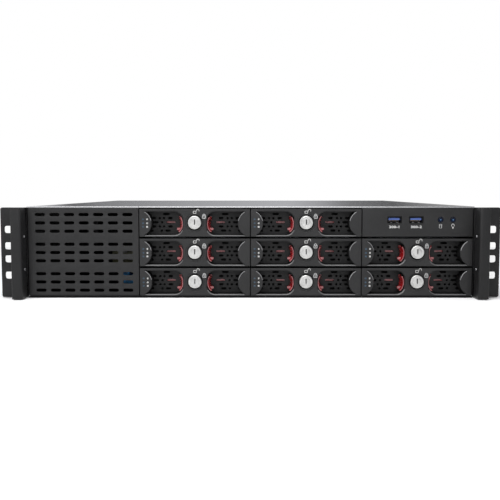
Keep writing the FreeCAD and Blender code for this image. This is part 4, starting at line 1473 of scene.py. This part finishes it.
    def marks(self) -> None:
        """Printed marks under the sockets and lenses."""
        front, usb, lens, z = self.places()
        printer = Printer(line=0.5)
        for x, kind in zip(lens, (Mark.DISK, Mark.LAMP)):
            piece = printer.mark(kind, x, front, z - 6.1)
            piece.name = f"{kind.value}_mark"
            dress(piece, Finish.PRINT if kind is Mark.LAMP else Finish.PRINT_DIM, CHASSIS)
        for index, x in enumerate(usb, 1):
            text = self.number(f"300-{index}", x, front, z - 7.0)
            text.name = f"socket_number_{index}"
            dress(text, Finish.PRINT_BOLD, CHASSIS)

    def build(self) -> None:
        """Model and dress the whole control panel."""
        self.panel()
        self.sockets()
        self.lenses()
        self.marks()
        LOG.info("control panel built")


@dataclass
class Ear:
    """Rack ear: slotted flange, forward ridge, side leg and two small screws in the ridge."""

    leg_x: float = 215.975
    sheet: float = 1.0
    flange: float = 2.5
    ridge_width: float = 10.0
    ridge_reach: float = 16.0
    leg_length: float = 60.0
    slot_x: float = 232.55
    slot_length: float = 11.0
    slot_width: float = 7.0
    slot_rows: tuple[float, float] = (6.35, 22.225)
    screw_rows: tuple[float, float] = (-15.9, 15.9)

    def build(self) -> None:
        """Model the right ear and mirror it for the left."""
        low, high = from_box("ear_right")
        plane = low.y + self.ridge_reach
        middle = (low.z + high.z) / 2
        face = self.leg_x + self.sheet
        flange = block("ear", (self.leg_x + 0.1, plane, low.z), (high.x, plane + self.flange, high.z))
        bevel(flange, every(ALONG_Y, beyond(X, high.x - 1)), 2.0, 5)
        ridge = block("ridge", (face, low.y, low.z), (face + self.ridge_width, plane + 1.0, high.z))
        for test, radius, steps in ((beyond(X, face + 1, -1), 3.0, 8), (beyond(X, face + 9), 1.0, 4)):
            bevel(ridge, every(ALONG_Z, beyond(Y, low.y + 1, -1), test), radius, steps)
        leg = block("leg", (self.leg_x, plane, low.z + 1), (face, plane + self.leg_length, high.z - 0.5))
        bevel(leg, every(ALONG_X, beyond(Y, plane + self.leg_length / 2)), 3.0, 4)
        combine(flange, [ridge, leg], "UNION")
        bevel(flange, every(ALONG_Z, at(X, face + self.ridge_width), at(Y, plane)), 1.2, 5)
        slots = []
        for row in self.slot_rows:
            for side in (-1, 1):
                z = middle + side * row
                slot = plate("slot", self.slot_x, z, self.slot_length, self.slot_width, plane - 10, plane + 10)
                slots.append(bevel(slot, ALONG_Y, 2.0, 5))
        smooth(soften(combine(flange, [join(slots, "slots")], "DIFFERENCE"), 0.3))
        screws = []
        for row in self.screw_rows:
            place = (face + 0.1, plane - 6.0, middle + row)
            head = rod("head", place, (face - 0.55, *place[1:]), 1.35, 24, 1.05)
            cross = [block("cross", (face - 1, place[1] - a, place[2] - b), (face - 0.25, place[1] + a, place[2] + b))
                     for a, b in ((0.7, 0.18), (0.18, 0.7))]
            screws.append(combine(head, cross, "DIFFERENCE"))
        screw = join(screws, "ear_screws_right")
        smooth(screw)
        left = copy_of(flange, "ear_piece_left", mirror=True)
        left_screws = copy_of(screw, "ear_screws_left", mirror=True)
        flange.name = "ear_piece_right"
        for piece, node in ((flange, "ear_right"), (left, "ear_left")):
            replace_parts(dress(piece, Finish.EAR, CHASSIS), node)
        for piece in (screw, left_screws):
            dress(piece, Finish.SCREW_DARK, CHASSIS)
        LOG.info("ears built")


@dataclass
class TopCover:
    """Sheet cover with rolled front edge, folded flanges and notches at the column joints."""

    sheet: float = 1.2
    fold: float = 1.0
    drop: float = 12.0
    flange_start: float = 60.15
    column: float = 107.75
    roll: float = 0.55

    def build(self) -> None:
        """Model and dress the cover."""
        low, high = from_box("top_cover")
        half = high.x
        inner = half - self.fold
        start = low.y + self.flange_start
        top = block("cover", (-inner, low.y, high.z - self.sheet), (inner, high.y, high.z))
        flanges = []
        for side in (-1, 1):
            low_x, high_x = sorted((side * inner - side * 0.5, side * half))
            flange = block("flange", (low_x, start, high.z - self.drop), (high_x, high.y, high.z))
            bevel(flange, every(ALONG_Y, at(X, side * half), beyond(Z, high.z - 1)), 1.2, 5)
            shave = block("shave", (min(side * inner, side * (inner - 2)), start - 1, high.z - self.drop - 1),
                          (max(side * inner, side * (inner - 2)), high.y + 1, high.z - self.sheet))
            flanges.append(combine(flange, [shave], "DIFFERENCE"))
        combine(top, flanges, "UNION")
        notches = [block("notch", (side * self.column - 0.4, low.y - 1, low.z),
                         (side * self.column + 0.4, low.y + 1.2, high.z + 1)) for side in (-1, 1)]
        combine(top, notches, "DIFFERENCE")
        bevel(top, every(ALONG_X, at(Y, low.y), beyond(Z, high.z - 0.1)), self.roll, 4)
        smooth(top)
        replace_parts(dress(top, Finish.COVER, CHASSIS), "top_cover")
        LOG.info("top cover built")


def islands(node: str, reach: float) -> list[tuple[Vector, Vector]]:
    """Boxes of the separate solids of a CAD node.

    Args:
        node: the node.
        reach: points nearer than this to an island's first point belong to it, in millimetres.

    Returns:
        The lowest and highest corner of each island, in millimetres.
    """
    groups: list[list[Vector]] = []
    for vertex in frame["nodes"][node].data.vertices:
        point = vertex.co / MM
        home = next((group for group in groups if (group[0] - point).length < reach), None)
        if home is None:
            groups.append([point])
        else:
            home.append(point)
    return [(Vector([min(p[i] for p in group) for i in range(3)]),
             Vector([max(p[i] for p in group) for i in range(3)])) for group in groups]


@dataclass
class Fasteners:
    """Pan-head screws with cross recesses, at the places of the CAD screws."""

    radius: float = 2.8
    height: float = 1.4

    def head(self) -> bpy.types.Object:
        """One head on the YZ plane, facing +X."""
        head = rod("head", (0, 0, 0), (self.height, 0, 0), self.radius, 32)
        bevel(head, beyond(X, self.height - 0.01), 0.8, 4)
        cross = [block("cross", (0.5, -a, -b), (2, a, b)) for a, b in ((1.5, 0.3), (0.3, 1.5))]
        return smooth(combine(head, cross, "DIFFERENCE"), 40)

    def build(self) -> None:
        """Copy the head to every screw of the CAD model."""
        master = self.head()
        made = []
        rear = CAD_HIGH.y / MM - self.height
        for low, high in islands("screws", 9.0):
            middle = (low + high) / 2
            twin = copy_of(master, "head")
            if high.y > rear + 0.5:
                twin.data.transform(Matrix.Rotation(math.radians(90), 4, "Z"))
                place = Vector((middle.x, high.y - self.height, middle.z))
            elif middle.x > 0:
                place = Vector((high.x - self.height, middle.y, middle.z))
            else:
                twin.data.transform(Matrix.Rotation(math.radians(180), 4, "Z"))
                place = Vector((low.x + self.height, middle.y, middle.z))
            twin.data.transform(Matrix.Translation(place * MM))
            made.append(twin)
        discard(master)
        screws = join(made, "case_screws")
        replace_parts(dress(screws, Finish.SCREW, CHASSIS), "screws")
        LOG.info("%d screws placed", len(made))


# ---- rear and inside -----------------------------------------------------------------------------------
@dataclass
class Mainboard:
    """Board with its parts and the network sockets at the rear edge."""

    port_count: int = 4
    port_spacing: float = 17.5
    port_width: float = 15.9
    port_height: float = 13.4
    port_depth: float = 21.0
    first_port: float = 21.95
    board: float = 1.6

    def ports(self, left: float, rear: float, top: float) -> None:
        """Network sockets with contacts and two small lamps each."""
        shells, liners, contacts, lamps = [], [], [], []
        for index in range(self.port_count):
            x = left + self.first_port + index * self.port_spacing
            half = self.port_width / 2
            shell = block("shell", (x - half, rear - self.port_depth, top), (x + half, rear, top + self.port_height))
            mouth = block("mouth", (x - 6.3, rear - 14, top + 0.9), (x + 6.3, rear + 1, top + self.port_height - 1.0))
            shells.append(soften(combine(shell, [mouth], "DIFFERENCE"), 0.25))
            liner = block("liner", (x - 6.3, rear - 14, top + 0.9), (x + 6.3, rear - 0.3, top + self.port_height - 1.0))
            hole = block("hole", (x - 5.9, rear - 13, top + 3.4), (x + 5.9, rear + 1, top + self.port_height - 1.4))
            key = block("key", (x - 2.6, rear - 11, top + 1.4), (x + 2.6, rear + 1, top + 3.6))
            liners.append(combine(liner, [hole, key], "DIFFERENCE"))
            for pin in range(8):
                px = x - 3.57 + pin * 1.02
                wire = block("wire", (px - 0.17, rear - 12.9, top + self.port_height - 3.2),
                             (px + 0.17, rear - 3.5, top + self.port_height - 2.8))
                with picked(wire, FRONT_FACES):
                    bpy.ops.transform.translate(value=(0, 0, -2.2 * MM))
                contacts.append(wire)
            lamps += [soften(plate("lamp", x + side * 4.9, top + 2.0, 2.0, 1.5, rear - 3, rear - 0.15), 0.15)
                      for side in (-1, 1)]
        smooth(shells[0])
        fit(shells, "network_shells", Finish.SHELL)
        fit(liners, "network_liners", Finish.CHIP)
        fit(contacts, "network_contacts", Finish.GOLD)
        fit(lamps, "network_lamps", Finish.STATUS)

    def build(self) -> None:
        """Model the board, chips, memory and capacitors."""
        low, high = from_box("mainboard")
        top = low.z + self.board
        rear = high.y
        board = block("mainboard_piece", low, (high.x, rear - 3.2, top))
        bevel(board, ALONG_Z, 2.5, 4)
        posts = [rod("hole", (x, y, low.z - 1), (x, y, top + 1), 1.7, 16)
                 for x in (low.x + 4, high.x - 4) for y in (low.y + 4, rear - 10)]
        combine(board, posts, "DIFFERENCE")
        chip_x, chip_y = low.x + 0.55 * (high.x - low.x), low.y + 70.0
        chips = [block("chip", (chip_x - 20, chip_y - 20, top), (chip_x + 20, chip_y + 20, top + 3.0))]
        for index in range(3):
            y = low.y + 20 + index * 26
            chips.append(block("chip", (low.x + 20, y, top), (low.x + 34, y + 14, top + 1.6)))
        slots = []
        for index in range(2):
            y = chip_y + 52 + index * 12
            slots.append(block("slot", (chip_x - 66, y, top), (chip_x + 66, y + 6.5, top + 8)))
            module = block("memory", (chip_x - 62, y + 2.5, top + 8), (chip_x + 62, y + 4.0, top + 31))
            dress(soften(module, 0.3), Finish.BOARD, CHASSIS).name = f"memory_module_{index + 1}"
            chips += [plate("chip", chip_x - 51 + n * 14, top + 19, 10, 14, y + 1.6, y + 2.6) for n in range(8)]
        cans = []
        for index in range(5):
            x, y = high.x - 24, low.y + 24 + index * 12
            can = rod("can", (x, y, top), (x, y, top + 12), 4, 28)
            cans.append(smooth(bevel(can, beyond(Z, top + 11.9), 0.6, 3)))
        button, rest = from_box("power_button")
        middle = (button.x + rest.x) / 2
        chips.append(block("switch", (middle - 8, rear - 12, top), (middle + 8, rear - 6, (button.z + rest.z) / 2 + 6)))
        for piece in chips + slots:
            soften(piece, 0.25)
        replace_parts(dress(board, Finish.BOARD, CHASSIS), "mainboard")
        fit(chips, "board_chips", Finish.CHIP)
        fit(slots, "memory_slots", Finish.CHIP)
        fit(cans, "board_capacitors", Finish.ZINC)
        self.ports(low.x, rear, top)
        LOG.info("mainboard built")


@dataclass
class RearFace:
    """What shows at the back: mains inlet, supply fan and power button."""

    inlet_width: float = 24.0
    inlet_height: float = 16.5
    inlet_depth: float = 17.0

    def inlet(self) -> None:
        """Black three-pin inlet in the supply's mouth."""
        low, high = from_box("power_supply")
        rear = high.y - 1.0
        x, z = low.x + (high.x - low.x) * 0.27, low.z + (high.z - low.z) * 0.32
        body = plate("inlet", x, z, self.inlet_width + 5.2, self.inlet_height + 5.2, rear + 0.85, rear + 2.2)
        bevel(body, ALONG_Y, 3.0, 5)
        sleeve = plate("sleeve", x, z, self.inlet_width, self.inlet_height, rear - self.inlet_depth, rear + 1.2)
        combine(body, [sleeve], "UNION")
        mouth = plate("mouth", x, z, self.inlet_width - 1.8, self.inlet_height - 1.8,
                      rear - self.inlet_depth + 0.9, rear + 4)
        bevel(mouth, every(ALONG_Y, beyond(Z, z)), 4.0, 1)
        body = smooth(soften(combine(body, [mouth], "DIFFERENCE"), 0.25))
        dress(body, Finish.CHIP, CHASSIS).name = "mains_inlet"
        start = rear - self.inlet_depth
        pins = [soften(plate("pin", x + dx, z + dz, 2.2, 4.2, start + 0.5, rear - 6.0), 0.5, 3)
                for dx, dz in ((-7.0, -1.5), (0.0, 2.5), (7.0, -1.5))]
        fit(pins, "mains_pins", Finish.ZINC)

    def supply_fan(self) -> None:
        """Small fan just behind the supply's grille."""
        low, high = from_box("power_supply")
        x, z = low.x + (high.x - low.x) * 0.66, low.z + (high.z - low.z) * 0.5
        y = high.y - 8.0
        hub = rod("supply_fan", (x, y, z), (x, y + 4, z), 9.0, 40)
        bevel(hub, beyond(Y, y + 3.9), 0.8, 3)
        blades = []
        for index in range(7):
            blade = block("blade", (x - 3.2, y + 0.5, z + 8.0), (x + 3.2, y + 1.3, z + 24.0))
            with editing(blade):
                bpy.ops.mesh.select_all(action="SELECT")
                bpy.ops.mesh.subdivide(number_cuts=3)
            blade.data.transform(Matrix.Translation(Vector((-x, -y - 0.9, -z)) * MM))
            blade.data.transform(Matrix.Rotation(math.radians(28), 4, "Z"))
            blade.data.transform(Matrix.Rotation(2 * math.pi * index / 7, 4, "Y"))
            blade.data.transform(Matrix.Translation(Vector((x, y + 1.5, z)) * MM))
            blades.append(blade)
        fit([hub, *blades], "supply_fan", Finish.FAN)

    def build(self) -> None:
        """Model and dress the rear pieces."""
        self.inlet()
        self.supply_fan()
        for node, finish, slot in (("rear_panel", Finish.ZINC, "zinc_steel"),
                                   ("power_supply", Finish.BASE, "chassis_paint"),
                                   ("power_button", Finish.BUTTON, "button_plastic")):
            dress(frame["nodes"][node], finish)
        LOG.info("rear face built")


@dataclass
class Inside:
    """CAD nodes whose shape is right and that only need their finish."""

    fans: int = 3

    def build(self) -> None:
        """Dress the nodes."""
        # The drive cage takes the dark painted-shade copy of the zinc steel.
        finishes = {"chassis_base": (Finish.BASE, "chassis_paint"), "drive_cage": (Finish.CAGE, "zinc_steel"),
                    "backplane": (Finish.BOARD, "board_laminate"), "heat_sink": (Finish.SINK, "sink_alloy"),
                    "fan_housings": (Finish.FAN, "fan_plastic")}
        for number in range(1, self.fans + 1):
            finishes[f"fan_rotor_{number}"] = (Finish.FAN, "fan_plastic")
        for node, (finish, slot) in finishes.items():
            dress(frame["nodes"][node], finish)
        LOG.info("inside dressed")


# ---- studio --------------------------------------------------------------------------------------------
@dataclass(frozen=True)
class Lamp:
    """Soft light, square or a strip along X, in metres and watts."""

    name: str
    place: tuple[float, float, float]
    size: float
    power: float
    depth: float = 0.0
    aim: tuple[float, float, float] = (0, -0.2, 0.04)

    def build(self) -> None:
        """Hang the light and turn it to what it faces."""
        way = Vector(self.aim) - Vector(self.place)
        bpy.ops.object.light_add(type="AREA", location=self.place, rotation=way.to_track_quat("-Z", "Y").to_euler())
        light = bpy.context.active_object
        light.name = self.name
        light.data.size = self.size
        if self.depth:
            light.data.shape = "RECTANGLE"
            light.data.size_y = self.depth
        light.data.energy = self.power


@dataclass
class Studio:
    """Floor, light and camera."""

    distance: float = 0.7104
    height: float = 0.1026
    tilt: float = 4.51
    lens: float = 53.0
    floor_size: float = 2.6
    floor_back: float = 0.42
    ambient: float = 0.6
    sensor: float = 36.0
    shift: float = -0.0009
    paper: float = 0.93
    horizon_x: tuple[float, float] = (-0.3, 0.4)
    rise: tuple[float, float] = (0.12, 0.45)
    turn: tuple[float, float] = (0.75, 0.35)
    lamps: tuple[Lamp, ...] = (
        Lamp("top", (-0.2, -0.75, 1.25), 1.2, 14), Lamp("key", (-1.3, -1.3, 0.7), 0.9, 5),
        Lamp("front", (0.1, -2.4, 0.8), 1.2, 4),
        Lamp("strip", (-0.06, -0.42, 0.30), 0.42, 0.35, 0.08, (-0.06, -0.24, 0.06)))
    horizon: tuple[tuple[float, float], ...] = ((0.0, 1.3), (0.09, 1.0), (0.15, 0.2), (0.33, 0.42), (0.5, 0.56),
                                               (0.56, 0.4), (0.62, 0.12), (0.7, 0.02), (1.0, 0.03))

    def floor(self) -> None:
        """Pale floor under the unit."""
        deselect_all()
        bpy.ops.mesh.primitive_plane_add(size=self.floor_size,
                                         location=(0, self.floor_back - self.floor_size / 2, CAD_LOW.z - 0.0002))
        floor = bpy.context.active_object
        floor.name = "floor"
        sheet = Sheet("floor_paper")
        sheet.set(Base_Color=(self.paper, self.paper, self.paper, 1), Roughness=0.9, Specular_IOR_Level=0.0)
        floor.data.materials.append(sheet.material)

    def world(self) -> None:
        """Soft surround: white where the camera looks past the unit, a graded horizon behind it for the cover."""
        world = bpy.data.worlds.new("studio")
        bpy.context.scene.world = world
        world.use_nodes = True
        nodes = Nodes(world.node_tree)
        nodes.tree.nodes.clear()
        output = nodes.add("ShaderNodeOutputWorld")
        seen = nodes.add("ShaderNodeBackground", Color=(1, 1, 1, 1))
        lit = nodes.add("ShaderNodeBackground")
        axes = nodes.add("ShaderNodeSeparateXYZ")
        nodes.link(nodes.add("ShaderNodeTexCoord").outputs["Generated"], axes.inputs[0])

        def ranged(axis: str, low: float, high: float) -> bpy.types.NodeSocket:
            """Value that runs from 0 to 1 as a direction's share along an axis goes from low to high."""
            ranger = nodes.add("ShaderNodeMapRange", From_Min=low, From_Max=high)
            nodes.link(axes.outputs[axis], ranger.inputs["Value"])
            return ranger.outputs["Result"]

        horizon = nodes.add("ShaderNodeValToRGB")
        stops = horizon.color_ramp.elements
        for position, value in self.horizon:
            stop = stops[0] if position == 0 else stops[1] if position == 1 else stops.new(position)
            stop.color = (value * 0.98, value * 0.99, value * 1.03, 1)
        nodes.link(ranged("X", *self.horizon_x), horizon.inputs["Fac"])
        highest = nodes.add("ShaderNodeMath", operation="MAXIMUM")
        nodes.link(ranged("Z", *self.rise), highest.inputs[0])
        nodes.link(ranged("Y", *self.turn), highest.inputs[1])
        blend = nodes.add("ShaderNodeMix", data_type="RGBA")
        nodes.link(highest.outputs[0], blend.inputs["Factor"])
        nodes.link(horizon.outputs["Color"], blend.inputs[6])
        blend.inputs[7].default_value = (self.ambient, self.ambient, self.ambient * 1.02, 1)
        nodes.link(blend.outputs[2], lit.inputs["Color"])
        mix = nodes.add("ShaderNodeMixShader")
        nodes.link(nodes.add("ShaderNodeLightPath").outputs["Is Camera Ray"], mix.inputs["Fac"])
        nodes.link(lit.outputs[0], mix.inputs[1])
        nodes.link(seen.outputs[0], mix.inputs[2])
        nodes.link(mix.outputs[0], output.inputs["Surface"])

    def camera(self) -> None:
        """Camera in front of the unit, a little above it."""
        plane = CAD_LOW.y + Ear.ridge_reach * MM
        bpy.ops.object.camera_add(location=(0, plane - self.distance, self.height),
                                  rotation=(math.radians(90 - self.tilt), 0, 0))
        camera = bpy.context.active_object
        camera.data.lens = self.lens
        camera.data.sensor_width = self.sensor
        camera.data.shift_x = self.shift
        bpy.context.scene.camera = camera

    def build(self) -> None:
        """Set up the studio."""
        self.floor()
        self.world()
        for lamp in self.lamps:
            lamp.build()
        self.camera()
        bpy.context.scene.view_settings.view_transform = "Standard"


def main() -> None:
    """Build every sub-assembly, then the studio around them."""
    logging.basicConfig(level=logging.INFO, format="%(name)s: %(message)s")
    for part in (DriveTray(), VentPanel(), ServiceCorner(), ControlPanel(), Ear(), TopCover(), Fasteners(),
                 Mainboard(), RearFace(), Inside(), Studio()):
        part.build()


if __name__ == "__main__":
    main()
